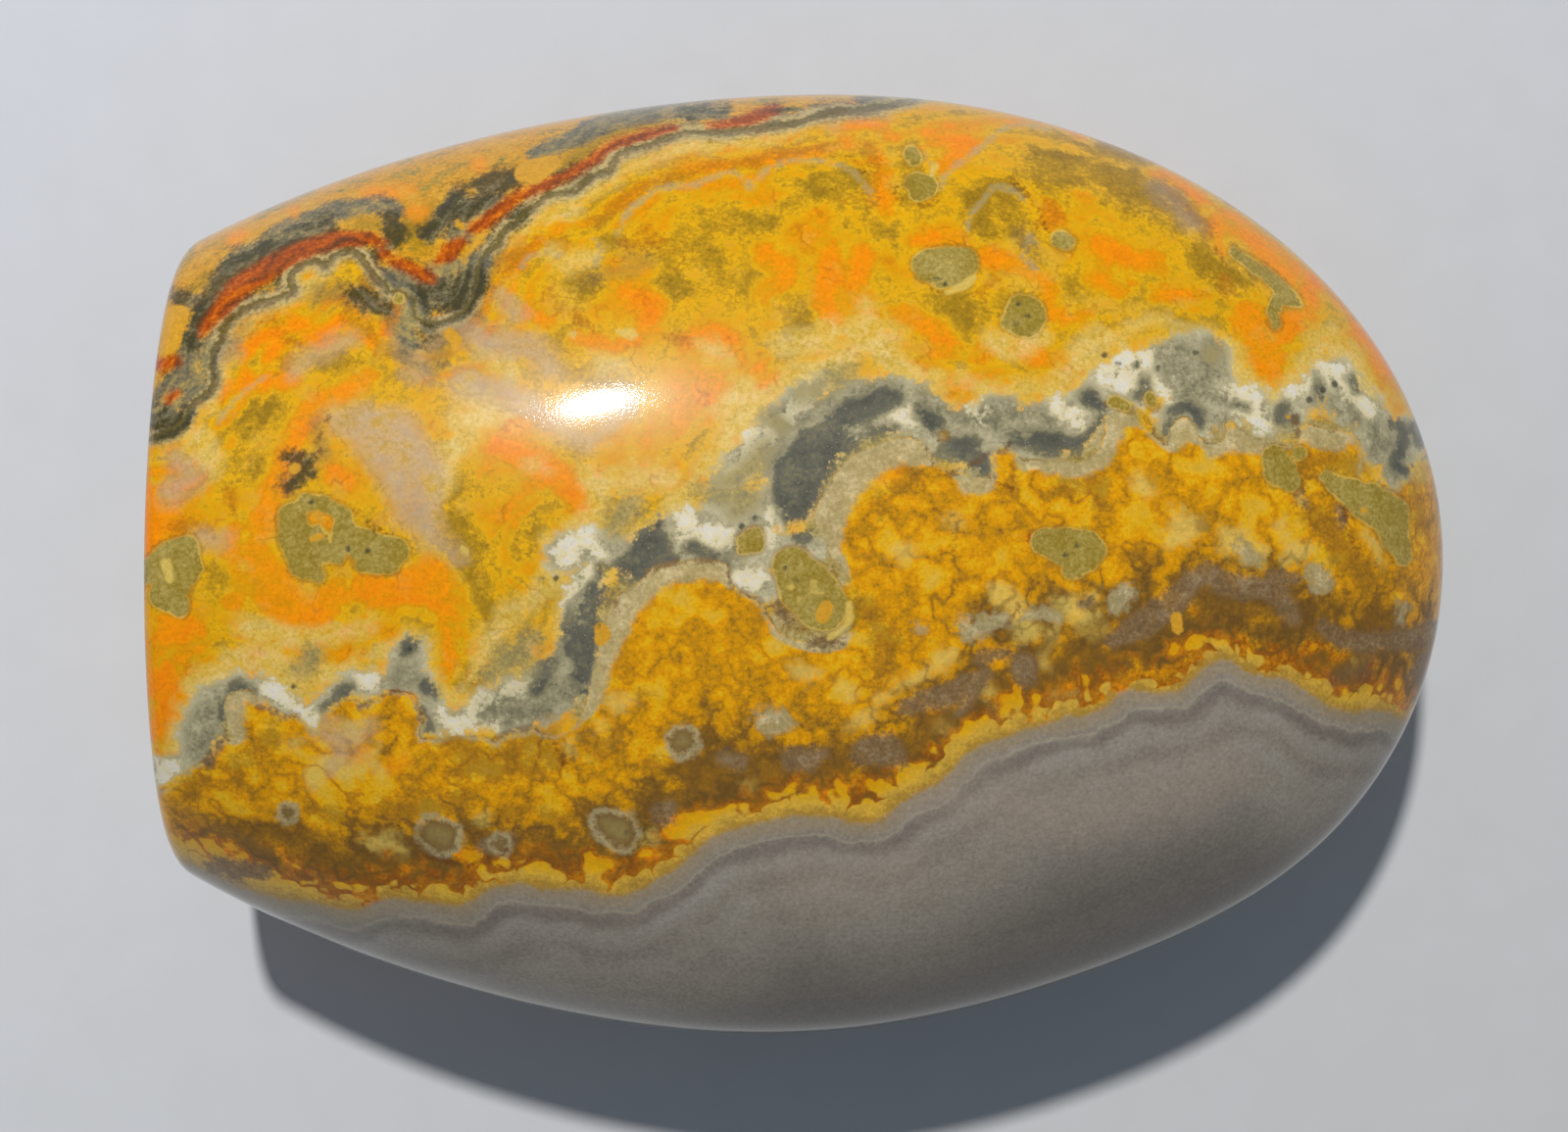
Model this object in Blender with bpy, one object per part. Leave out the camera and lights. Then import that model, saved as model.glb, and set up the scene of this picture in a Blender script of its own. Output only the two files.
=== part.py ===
"""A polished bumblebee jasper, lying on its belly.

The stone is one solid: a hand-ground ovoid whose blunt end is sawn off flat,
so that it can also stand on that end. X runs along its length, from the sawn
end at -X to the rounded nose at +X. Y is its width, and Z its thickness. The
origin is at the middle of its box, at the height of the surface it rests on.
"""

import math

import bmesh
import bpy

# Whole stone, in metres
LENGTH = 0.0920
BACK_HALF_WIDTH = 0.0339
FRONT_HALF_WIDTH = 0.0356
HALF_THICKNESS = 0.0210

# Stations along the length, measured from the sawn end
WIDEST_STATION = 0.0474
CROWN_STATION = 0.0347
BELLY_STATION = 0.0416

# Reach of the curves that taper towards the sawn end, beyond which it is cut away
TAIL_WIDTH_REACH = 0.0664
TAIL_DEPTH_REACH = 0.0616

# Exponents of the outline seen from above: 2 is an ellipse, and less is more pointed
TAIL_FULLNESS = 1.82
NOSE_FULLNESS = 2.04

# The front flank is ground a little flatter near the nose
FLANK_STATION = 0.0696
FLANK_SPREAD = 0.0219
FLANK_SHARE = 0.074

# Radius of the polished rim round the sawn face
RIM_RADIUS = 0.0012

# Depth of belly worn away to the small flat spot that the stone rests on
REST_DEPTH = 0.0004

# Facets round the stone, and rings from the middle of the sawn face to the nose
SEGMENTS = 96
FACE_RINGS = 4
RIM_RINGS = 5
BODY_RINGS = 38

# Look of the solid: golden yellow, polished
STONE_COLOUR = (0.62, 0.36, 0.06, 1.0)
STONE_ROUGHNESS = 0.18
STONE_METALLIC = 0.0


def clear_scene():
    for old in list(bpy.data.objects):
        bpy.data.objects.remove(old, do_unlink=True)


def arch(offset, reach, fullness=2.0):
    """Height of a unit arch at an offset from its top, zero at its reach."""
    share = min(1.0, abs(offset) / reach)
    return (1.0 - share**fullness) ** (1.0 / fullness)


def half_widths(station):
    """Half widths towards the back and the front."""
    offset = station - WIDEST_STATION
    if offset < 0:
        plan = arch(offset, TAIL_WIDTH_REACH, TAIL_FULLNESS)
    else:
        plan = arch(offset, LENGTH - WIDEST_STATION, NOSE_FULLNESS)
    flank = (station - FLANK_STATION) / FLANK_SPREAD
    ground = 1.0 - FLANK_SHARE * math.exp(-flank * flank)
    return BACK_HALF_WIDTH * plan, FRONT_HALF_WIDTH * plan * ground


def half_depth(station, top_station):
    """Half thickness of the side whose highest line is at top_station."""
    offset = station - top_station
    reach = TAIL_DEPTH_REACH if offset < 0 else LENGTH - top_station
    return HALF_THICKNESS * arch(offset, reach)


def section_point(station, angle, inset=0.0, share=1.0):
    """A point of the cross-section at a station, drawn in by an inset and scaled by a share."""
    back, front = half_widths(station)
    side, lift = math.cos(angle), math.sin(angle)
    width = back if side > 0 else front
    depth = half_depth(station, CROWN_STATION if lift > 0 else BELLY_STATION)
    y = (width - inset) * share * side
    z = (depth - inset) * share * lift
    return station, y, z


def skin_point(ring, angle):
    """A point of the stone's skin: sawn face first, then the rim, then the body to the nose."""
    if ring <= FACE_RINGS:
        return section_point(0.0, angle, RIM_RADIUS, ring / FACE_RINGS)
    ring -= FACE_RINGS
    if ring <= RIM_RINGS:
        turn = 0.5 * math.pi * ring / RIM_RINGS
        station = RIM_RADIUS * (1.0 - math.cos(turn))
        return section_point(station, angle, RIM_RADIUS * (1.0 - math.sin(turn)))
    turn = 0.5 * math.pi * (ring - RIM_RINGS) / BODY_RINGS
    return section_point(RIM_RADIUS + (LENGTH - RIM_RADIUS) * math.sin(turn), angle)


def shape_ball(bm):
    """Moves each ring of a unit ball to its place on the stone."""
    rings = FACE_RINGS + RIM_RINGS + BODY_RINGS
    bmesh.ops.create_uvsphere(bm, u_segments=SEGMENTS, v_segments=rings, radius=1.0)
    for vert in bm.verts:
        fall = math.acos(max(-1.0, min(1.0, vert.co.z)))
        ring = round(fall / math.pi * rings)
        angle = math.atan2(vert.co.y, vert.co.x)
        vert.co = skin_point(ring, angle)


def grind_rest_spot(bm):
    """Cuts the lowest part of the belly off flat and closes the cut."""
    level = REST_DEPTH - HALF_THICKNESS
    everything = bm.verts[:] + bm.edges[:] + bm.faces[:]
    bmesh.ops.bisect_plane(
        bm, geom=everything, dist=1e-6, plane_co=(0, 0, level), plane_no=(0, 0, -1), clear_outer=True
    )
    rim = [edge for edge in bm.edges if edge.is_boundary]
    bmesh.ops.contextual_create(bm, geom=rim)


def centre_on_base(bm):
    """Puts the middle of the box over the origin, and the rest spot at its height."""
    low = [min(vert.co[axis] for vert in bm.verts) for axis in range(3)]
    high = [max(vert.co[axis] for vert in bm.verts) for axis in range(3)]
    shift = (-(low[0] + high[0]) / 2, -(low[1] + high[1]) / 2, -low[2])
    bmesh.ops.translate(bm, verts=bm.verts, vec=shift)


def stone_material():
    material = bpy.data.materials.new("polished_jasper")
    material.use_nodes = True
    shader = material.node_tree.nodes["Principled BSDF"]
    shader.inputs["Base Color"].default_value = STONE_COLOUR
    shader.inputs["Roughness"].default_value = STONE_ROUGHNESS
    shader.inputs["Metallic"].default_value = STONE_METALLIC
    return material


def make_stone(collection):
    bm = bmesh.new()
    shape_ball(bm)
    grind_rest_spot(bm)
    centre_on_base(bm)
    bmesh.ops.recalc_face_normals(bm, faces=bm.faces)
    mesh = bpy.data.meshes.new("stone")
    bm.to_mesh(mesh)
    bm.free()
    mesh.shade_smooth()
    mesh.set_sharp_from_angle(angle=math.radians(35))
    mesh.materials.append(stone_material())
    stone = bpy.data.objects.new("stone", mesh)
    collection.objects.link(stone)
    return stone


def main():
    clear_scene()
    collection = bpy.data.collections.new("bumblebee_jasper")
    bpy.context.scene.collection.children.link(collection)
    make_stone(collection)


main()
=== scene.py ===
# %% [markdown]
# # A polished bumblebee jasper
#
# The real object is one lump of banded volcanic rock, coloured yellow and orange by sulphur and
# arsenic minerals and black by fine iron ore. It is ground by hand to an ovoid, sawn off flat at
# one end, and polished. It has no other pieces, so the whole lesson is one piece and its finish.
#
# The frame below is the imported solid, in metres, with +Z up. Everything here is fitted to it.

# %% Load the frame
import math
import random

import bpy
import numpy as np
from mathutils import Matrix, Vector, noise


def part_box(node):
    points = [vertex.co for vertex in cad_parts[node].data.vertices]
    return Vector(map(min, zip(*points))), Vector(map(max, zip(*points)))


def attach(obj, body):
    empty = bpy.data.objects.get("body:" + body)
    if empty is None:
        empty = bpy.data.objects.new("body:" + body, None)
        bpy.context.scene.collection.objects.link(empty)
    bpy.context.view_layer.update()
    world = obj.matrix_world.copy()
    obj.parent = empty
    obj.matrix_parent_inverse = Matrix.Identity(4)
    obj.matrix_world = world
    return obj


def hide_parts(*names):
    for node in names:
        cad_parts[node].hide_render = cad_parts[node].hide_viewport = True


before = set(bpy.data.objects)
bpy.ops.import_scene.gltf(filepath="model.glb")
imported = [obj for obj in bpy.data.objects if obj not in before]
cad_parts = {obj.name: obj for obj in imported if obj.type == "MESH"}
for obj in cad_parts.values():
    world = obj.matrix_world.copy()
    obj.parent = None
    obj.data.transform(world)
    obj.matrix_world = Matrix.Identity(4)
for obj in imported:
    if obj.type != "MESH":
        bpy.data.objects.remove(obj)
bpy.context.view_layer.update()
stone_low, stone_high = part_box("stone")
print("solid:", [round(1000 * side, 1) for side in stone_high - stone_low], "mm")

# %% [markdown]
# ## Where the camera stands
#
# The photograph looks straight down on the stone. The place of the camera was found from the
# stone's outline, its shadow and the sun's glint. The same numbers tell which spot of the stone
# each pixel of the photograph shows, and the marks further down are placed with them.

# %% Camera
PHOTO_WIDTH = 1600
PHOTO_HEIGHT = 1155
SENSOR_WIDTH = 36.0
FOCAL_PIXELS = 3423.6
VIEW_X = -0.00217
VIEW_Y = -0.00016
VIEW_HEIGHT = 0.2666
VIEW_ROLL = 0.0133

camera_data = bpy.data.cameras.new("camera")
camera_data.sensor_width = SENSOR_WIDTH
camera_data.lens = FOCAL_PIXELS * SENSOR_WIDTH / PHOTO_WIDTH
camera_data.clip_start = 0.01
camera = bpy.data.objects.new("camera", camera_data)
camera.location = (VIEW_X, VIEW_Y, VIEW_HEIGHT)
camera.rotation_euler = (0.0, 0.0, VIEW_ROLL)
bpy.context.scene.collection.objects.link(camera)
bpy.context.scene.camera = camera
print("lens:", round(camera_data.lens, 2), "mm")

# %% [markdown]
# ## Light and paper
#
# The stone lies on pale paper in sunlight. One sun lamp with a small disc gives the crisp shadow
# and the long glint on the crown, because a curved polished face mirrors the lamp's disc. A pale
# world gives the soft light of the sky. The Standard view keeps the yellows as strong as they are.
# The paper also carries painted shade: its colour darkens from the upper left to the lower right.

# %% Light and paper
SUN_DIRECTION = Vector((-0.127, 0.506, 1.0))
SUN_STRENGTH = 2.54
SUN_DISC_DEGREES = 3.0
SKY_COLOUR = (0.168, 0.204, 0.25, 1.0)
LIT_PAPER = (0.705, 0.715, 0.742, 1.0)
SHADED_PAPER = (0.53, 0.523, 0.506, 1.0)
PAPER_SIZE = 3.0

sun_data = bpy.data.lights.new("sun", "SUN")
sun_data.energy = SUN_STRENGTH
sun_data.angle = math.radians(SUN_DISC_DEGREES)
sun = bpy.data.objects.new("sun", sun_data)
sun.rotation_euler = SUN_DIRECTION.to_track_quat("Z", "Y").to_euler()
bpy.context.scene.collection.objects.link(sun)

world = bpy.data.worlds.new("sky")
world.use_nodes = True
world.node_tree.nodes["Background"].inputs["Color"].default_value = SKY_COLOUR
bpy.context.scene.world = world
bpy.context.scene.view_settings.view_transform = "Standard"

bpy.ops.mesh.primitive_plane_add(size=PAPER_SIZE)
paper = bpy.context.object
paper.name = "paper"
paper_material = bpy.data.materials.new("paper")
paper_material.use_nodes = True
paper_shader = paper_material.node_tree.nodes["Principled BSDF"]
paper_nodes = paper_material.node_tree.nodes
paper_links = paper_material.node_tree.links
paper_place = paper_nodes.new("ShaderNodeTexCoord")
# Painted shade: the paper's colour darkens from the lit colour towards the lower right, under a faint fibre noise.
paper_shade_slope = paper_nodes.new("ShaderNodeVectorMath")
paper_shade_slope.operation = "DOT_PRODUCT"
paper_shade_slope.inputs[1].default_value = (3.5, -6.0, 0.0)
paper_fibre = paper_nodes.new("ShaderNodeTexNoise")
paper_fibre.inputs["Scale"].default_value = 220.0
paper_fibre_and_shade = paper_nodes.new("ShaderNodeMath")
paper_fibre_and_shade.operation = "MULTIPLY_ADD"
paper_fibre_and_shade.inputs[1].default_value = 0.2
paper_fibre_and_shade.use_clamp = True
paper_mix = paper_nodes.new("ShaderNodeMix")
paper_mix.data_type = "RGBA"
paper_mix.inputs[6].default_value = LIT_PAPER
paper_mix.inputs[7].default_value = SHADED_PAPER
paper_shade_offset = paper_nodes.new("ShaderNodeMath")
paper_shade_offset.inputs[1].default_value = 0.4
paper_links.new(paper_place.outputs["Object"], paper_shade_slope.inputs[0])
paper_links.new(paper_place.outputs["Object"], paper_fibre.inputs["Vector"])
paper_links.new(paper_shade_slope.outputs["Value"], paper_shade_offset.inputs[0])
paper_links.new(paper_fibre.outputs["Fac"], paper_fibre_and_shade.inputs[0])
paper_links.new(paper_shade_offset.outputs[0], paper_fibre_and_shade.inputs[2])
paper_links.new(paper_fibre_and_shade.outputs[0], paper_mix.inputs[0])
paper_links.new(paper_mix.outputs[2], paper_shader.inputs["Base Color"])
paper_shader.inputs["Roughness"].default_value = 0.9
paper_shader.inputs["Specular IOR Level"].default_value = 0.2
paper.data.materials.append(paper_material)
print("sun:", round(math.degrees(math.asin(SUN_DIRECTION.normalized().z))), "degrees high")

# %% [markdown]
# ## Sums as nodes
#
# The stone's form and its colours are both made by node trees full of arithmetic. A small class
# keeps that readable: a `Wire` holds one socket, and a sum written with wires adds the Math nodes
# for it. The same class works in a Geometry Nodes tree and in a material.

# %% Wires
def plug(tree, slot, value):
    """Feeds a socket with a wire or with a plain value."""
    if isinstance(value, Wire):
        tree.links.new(value.socket, slot)
    else:
        slot.default_value = value


class Wire:
    """One output socket. Arithmetic on it adds Math nodes to its tree."""

    def __init__(self, tree, socket):
        self.tree = tree
        self.socket = socket

    def math(self, operation, *others):
        node = self.tree.nodes.new("ShaderNodeMath")
        node.operation = operation
        for slot, value in zip(node.inputs, (self, *others)):
            plug(self.tree, slot, value)
        return Wire(self.tree, node.outputs[0])

    def __add__(self, other):
        return self.math("ADD", other)

    def __sub__(self, other):
        return self.math("SUBTRACT", other)

    def __rsub__(self, other):
        return self.math("MULTIPLY_ADD", -1.0, other)

    def __mul__(self, other):
        return self.math("MULTIPLY", other)

    def __truediv__(self, other):
        return self.math("DIVIDE", other)

    def __rtruediv__(self, other):
        return self.math("POWER", -1.0) * other

    def __pow__(self, other):
        return self.math("POWER", other)

    __radd__ = __add__
    __rmul__ = __mul__

    def clamp(self, low=0.0, high=1.0):
        return self.math("MAXIMUM", low).math("MINIMUM", high)

    def below(self, limit):
        return self.math("LESS_THAN", limit)


def pick(test, yes, no):
    """yes where the test is 1, no where it is 0."""
    return no + test * (yes - no)


def node_wire(tree, kind, output=0, settings=(), **inputs):
    """Adds a node, fills its inputs by name, and gives one of its outputs as a wire."""
    node = tree.nodes.new(kind)
    for name, value in dict(settings).items():
        setattr(node, name, value)
    for name, value in inputs.items():
        plug(tree, node.inputs[name.replace("_", " ")], value)
    return Wire(tree, node.outputs[output])


print("wires ready")

# %% [markdown]
# ## The form
#
# A hand-ground ovoid has no flat sides, so a sphere is a good start: its rings become the stone's
# cross-sections, from the middle of the sawn face to the nose. Every ring is half an ellipse above
# the waist and half an ellipse below it. The rule is the same as the solid's, with far more rings.
#
# It is a rule, so Geometry Nodes can hold it, with a named input for each size. Rings are spread
# evenly along the length, and the upper side gets more of each ring's points, because the eye
# looks there first. A last step adds the slight waves that a hand leaves on a grinding wheel, and
# presses the belly flat where the stone rests.

# %% Sizes of the form
FORM = {
    "Length": stone_high.x - stone_low.x,
    "Back half width": 0.0339,
    "Front half width": 0.0356,
    "Half thickness": 0.0210,
    "Widest station": 0.0474,
    "Crown station": 0.0347,
    "Belly station": 0.0416,
    "Tail width reach": 0.0664,
    "Tail depth reach": 0.0616,
    "Tail fullness": 1.82,
    "Nose fullness": 2.04,
    "Flank station": 0.0696,
    "Flank spread": 0.0219,
    "Flank share": 0.074,
    "Rim radius": 0.0012,
    "Rest depth": 0.0004,
    "Wave height": 0.00003,
    "Wave length": 0.012,
    "Crowding": 0.5,
}
SEGMENTS = 320
FACE_RINGS = 22
RIM_RINGS = 6
BODY_RINGS = 272
WAIST = Vector((
    stone_low.x,
    stone_high.y - FORM["Back half width"],
    FORM["Half thickness"] - FORM["Rest depth"],
))
print("waist line at", [round(1000 * place, 2) for place in WAIST], "mm")

# %% Rule of the form
def arch(offset, reach, fullness=2.0):
    """Height of a unit arch at an offset from its top, zero at its reach."""
    share = (offset.math("ABSOLUTE") / reach).clamp()
    return (1.0 - share**fullness).math("MAXIMUM", 0.0) ** (1.0 / fullness)


def half_widths(station, size):
    """Half widths towards the back and the front."""
    offset = station - size["Widest station"]
    tail = arch(offset, size["Tail width reach"], size["Tail fullness"])
    nose = arch(offset, size["Length"] - size["Widest station"], size["Nose fullness"])
    plan = pick(offset.below(0.0), tail, nose)
    flank = (station - size["Flank station"]) / size["Flank spread"]
    ground = 1.0 - (flank * flank * -1.0).math("EXPONENT") * size["Flank share"]
    return plan * size["Back half width"], plan * ground * size["Front half width"]


def half_depth(station, lift, size):
    """Half thickness, above the waist or below it."""
    top = pick(lift.below(0.0), size["Belly station"], size["Crown station"])
    offset = station - top
    reach = pick(offset.below(0.0), size["Tail depth reach"], size["Length"] - top)
    return arch(offset, reach) * size["Half thickness"]


def ring_place(ring, size):
    """Station, inset and share of a ring: sawn face, then its rim, then the body."""
    share = (ring / FACE_RINGS).clamp()
    turn = ((ring - FACE_RINGS) / RIM_RINGS).clamp() * (math.pi / 2)
    walk = ((ring - (FACE_RINGS + RIM_RINGS)) / BODY_RINGS).clamp()
    straight = size["Widest station"] - size["Rim radius"]
    curved = size["Length"] - size["Widest station"]
    bend = straight / (straight + curved * (math.pi / 2))
    along = straight * (walk / bend).clamp()
    round_nose = curved * (((walk - bend) / (1.0 - bend)).clamp() * (math.pi / 2)).math("SINE")
    station = size["Rim radius"] * (1.0 - turn.math("COSINE")) + along + round_nose
    inset = size["Rim radius"] * (1.0 - turn.math("SINE"))
    return station, inset, share


def split_position(tree):
    place = node_wire(tree, "GeometryNodeInputPosition")
    split = tree.nodes.new("ShaderNodeSeparateXYZ")
    plug(tree, split.inputs[0], place)
    return [Wire(tree, socket) for socket in split.outputs]


def join_position(tree, x, y, z):
    return node_wire(tree, "ShaderNodeCombineXYZ", X=x, Y=y, Z=z)


def ovoid_position(tree, size):
    """Sends each point of a unit sphere to its place on the stone."""
    x, y, z = split_position(tree)
    rings = FACE_RINGS + RIM_RINGS + BODY_RINGS
    ring = (z.clamp(-1.0, 1.0).math("ARCCOSINE") * (rings / math.pi)).math("ROUND")
    even_angle = x.math("ARCTAN2", y)
    angle = even_angle + even_angle.math("COSINE") * size["Crowding"]
    side, lift = angle.math("COSINE"), angle.math("SINE")
    station, inset, share = ring_place(ring, size)
    back, front = half_widths(station, size)
    width = pick(side.below(0.0), front, back)
    depth = half_depth(station, lift, size)
    return join_position(tree, station, (width - inset) * share * side, (depth - inset) * share * lift)


print("rings:", FACE_RINGS + RIM_RINGS + BODY_RINGS)

# %% Node tree of the form
def grinding_waves(tree, size):
    """A small move along the normal, none on the sawn face."""
    x = split_position(tree)[0]
    place = node_wire(tree, "GeometryNodeInputPosition")
    swell = node_wire(tree, "ShaderNodeTexNoise", Vector=place, Scale=1.0 / size["Wave length"], Detail=1.0)
    body = ((x - size["Rim radius"]) / size["Wave length"]).clamp()
    height = (swell - 0.5) * body * size["Wave height"] * 4.0
    normal = node_wire(tree, "GeometryNodeInputNormal")
    scaled = tree.nodes.new("ShaderNodeVectorMath")
    scaled.operation = "SCALE"
    plug(tree, scaled.inputs[0], normal)
    plug(tree, scaled.inputs["Scale"], height)
    return Wire(tree, scaled.outputs[0])


def rested_position(tree, size):
    """Presses the belly flat at the rest depth and puts the stone in the frame."""
    x, y, z = split_position(tree)
    floor = size["Rest depth"] - size["Half thickness"]
    return join_position(tree, x + WAIST.x, y + WAIST.y, z.math("MAXIMUM", floor) - floor)


def form_tree():
    tree = bpy.data.node_groups.new("stone form", "GeometryNodeTree")
    tree.interface.new_socket("Geometry", in_out="OUTPUT", socket_type="NodeSocketGeometry")
    for name, value in FORM.items():
        tree.interface.new_socket(name, in_out="INPUT", socket_type="NodeSocketFloat").default_value = value
    tree.interface.new_socket("Material", in_out="INPUT", socket_type="NodeSocketMaterial")
    entry = tree.nodes.new("NodeGroupInput")
    size = {name: Wire(tree, entry.outputs[name]) for name in FORM}
    rings = FACE_RINGS + RIM_RINGS + BODY_RINGS
    ball = node_wire(tree, "GeometryNodeMeshUVSphere", Segments=SEGMENTS, Rings=rings, Radius=1.0)
    ovoid = node_wire(tree, "GeometryNodeSetPosition", Geometry=ball, Position=ovoid_position(tree, size))
    waved = node_wire(tree, "GeometryNodeSetPosition", Geometry=ovoid, Offset=grinding_waves(tree, size))
    rested = node_wire(tree, "GeometryNodeSetPosition", Geometry=waved, Position=rested_position(tree, size))
    real = node_wire(tree, "GeometryNodeRealizeInstances", Geometry=rested)
    material = Wire(tree, entry.outputs["Material"])
    dressed = node_wire(tree, "GeometryNodeSetMaterial", Geometry=real, Material=material)
    leave = tree.nodes.new("NodeGroupOutput")
    plug(tree, leave.inputs["Geometry"], dressed)
    return tree


jasper = bpy.data.materials.new("polished_jasper")
jasper.use_nodes = True
carrier = bpy.data.objects.new("form carrier", bpy.data.meshes.new("form carrier"))
bpy.context.scene.collection.objects.link(carrier)
form = carrier.modifiers.new("stone form", "NODES")
form.node_group = form_tree()
for item in form.node_group.interface.items_tree:
    if item.in_out == "INPUT":
        form[item.identifier] = jasper if item.name == "Material" else FORM[item.name]
evaluated = carrier.evaluated_get(bpy.context.evaluated_depsgraph_get())
stone_mesh = bpy.data.meshes.new_from_object(evaluated)
stone_mesh.name = "polished_stone"
bpy.data.objects.remove(carrier, do_unlink=True)
stone_mesh.shade_smooth()
stone = bpy.data.objects.new("polished_stone", stone_mesh)
bpy.context.scene.collection.objects.link(stone)
print("triangles:", sum(len(face.vertices) - 2 for face in stone_mesh.polygons))

# %% [markdown]
# ## Reading the marks
#
# The rock's pattern was drawn by nature once, so no formula gives it. It is drawn here the way a
# painter blocks in a picture: by strokes. A stroke is a run of points, each with a radius, read
# off the photograph in its pixels. For every point of the mesh the script measures how
# far it lies from the nearest stroke of a kind, below zero inside, and keeps that distance as an
# attribute. The material then roughens the edge and gives it a colour.
#
# The underside is hidden in the photograph. There the rock's layers run on, dipping towards the
# back, and bend more the deeper they go.

# %% Points of the stone on the photograph
PIXELS_PER_MM = 13.9
DIP = 0.5
DIP_START = 0.003
FACE_BOW = 0.007
BEND_SIZE = 0.009
BEND_HEIGHT = 0.003

points = np.zeros(3 * len(stone_mesh.vertices))
stone_mesh.vertices.foreach_get("co", points)
points = points.reshape(-1, 3)


def hidden_depth():
    """How far each point lies below the waist, or inside the edge of the sawn face, in metres."""
    drop = np.maximum(WAIST.z - points[:, 2], 0.0)
    soft_drop = np.sqrt(drop**2 + DIP_START**2) - DIP_START
    on_face = points[:, 0] < stone_low.x + 1e-5
    edge = np.abs(points[on_face] - np.array(WAIST)).max(axis=0)
    share = np.hypot((points[:, 1] - WAIST.y) / edge[1], (points[:, 2] - WAIST.z) / edge[2])
    bow = np.where(on_face, FACE_BOW * (1.0 - np.minimum(share, 1.0) ** 2), 0.0)
    return soft_drop + bow


def photo_pixels():
    """Where each point shows in the photograph; hidden points take the place of the layer they are in."""
    bend = np.array([noise.noise_vector(Vector(point) / BEND_SIZE) for point in points])
    bend = bend[:, :2] * np.minimum(hidden, 2 * BEND_HEIGHT)[:, None] / 2
    x = points[:, 0] + bend[:, 0] - VIEW_X
    y = points[:, 1] + bend[:, 1] + DIP * hidden - VIEW_Y
    turned_x = x * math.cos(VIEW_ROLL) + y * math.sin(VIEW_ROLL)
    turned_y = y * math.cos(VIEW_ROLL) - x * math.sin(VIEW_ROLL)
    scale = FOCAL_PIXELS / (VIEW_HEIGHT - np.maximum(points[:, 2], WAIST.z))
    return np.stack([PHOTO_WIDTH / 2 + turned_x * scale, PHOTO_HEIGHT / 2 - turned_y * scale], axis=1)


hidden = hidden_depth()
pixels = photo_pixels()
print("points:", len(points), "hidden:", int((hidden > 0).sum()))

# %% Distances
FAR = 1e4


def run_distance(run, with_radius=True):
    """Distance in pixels of every point from a run of strokes, below zero inside."""
    nearest = np.full(len(pixels), FAR)
    ends = run if len(run) > 1 else run * 2
    for start, end in zip(ends, ends[1:]):
        begin = np.array(start[:2], float)
        way = np.array(end[:2], float) - begin
        share = np.clip((pixels - begin) @ way / max(way @ way, 1e-9), 0.0, 1.0)
        away = np.hypot(*(pixels - begin - share[:, None] * way).T)
        if with_radius:
            away = away - (start[2] + share * (end[2] - start[2]))
        nearest = np.minimum(nearest, away)
    return nearest


def strokes_distance(runs, with_radius=True):
    """Distance in millimetres from the nearest of several runs."""
    return np.min([run_distance(run, with_radius) for run in runs], axis=0) / PIXELS_PER_MM


def inside_outline(outline):
    """Which points lie inside a closed outline."""
    inside = np.zeros(len(pixels), bool)
    for (ax, ay), (bx, by) in zip(outline, outline[1:] + outline[:1]):
        if ay == by:
            continue
        crosses = (ay > pixels[:, 1]) != (by > pixels[:, 1])
        reach = ax + (pixels[:, 1] - ay) * (bx - ax) / (by - ay)
        inside ^= crosses & (pixels[:, 0] < reach)
    return inside


def edge_distance(line, closing):
    """Distance in millimetres from a line, above zero on the side that the closing points go round."""
    away = run_distance(line, with_radius=False) / PIXELS_PER_MM
    return np.where(inside_outline(line + closing), away, -away)


fields = {}
print("ready to measure")

# %% [markdown]
# ## The three great edges
#
# Three wavy lines cross the whole stone, and they part its four kinds of rock. The lace line parts
# the dark banded corner from the gold. The lower edge of the cloud parts the white, ash and
# charcoal cloud from the bubbly gold below it. The last one is the top of the grey agate.

# %% Edges
LACE_LINE = [
    (100, 447), (150, 446), (165, 444), (178, 440), (186, 430), (191, 418), (197, 408), (207, 402),
    (216, 395), (218, 384), (214, 372), (216, 358), (224, 345), (226, 335), (233, 325), (243, 316),
    (254, 311), (266, 307), (280, 303), (292, 299), (300, 295), (294, 288), (295, 279), (303, 271),
    (313, 266), (325, 264), (331, 272), (336, 264), (341, 259), (349, 255), (360, 254), (370, 259),
    (377, 268), (384, 279), (392, 288), (397, 296), (412, 299), (421, 308), (424, 322), (440, 330),
    (466, 322), (482, 306), (488, 284), (491, 264), (498, 252), (508, 246), (510, 236), (518, 229),
    (530, 222), (543, 210), (553, 200), (568, 196), (586, 194), (596, 185), (606, 178), (620, 173),
    (622, 164), (631, 156), (646, 151), (662, 146), (680, 140), (698, 134), (718, 134), (742, 134),
    (758, 130), (776, 127), (796, 125), (816, 122), (832, 116), (856, 112), (880, 111), (905, 106),
    (926, 101), (950, 92), (1050, 88), (1180, 118), (1300, 180), (1400, 262), (1480, 360), (1560, 460),
]
LACE_CLOSING = [(1700, 300), (1500, 0), (60, 0), (60, 440)]
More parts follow.
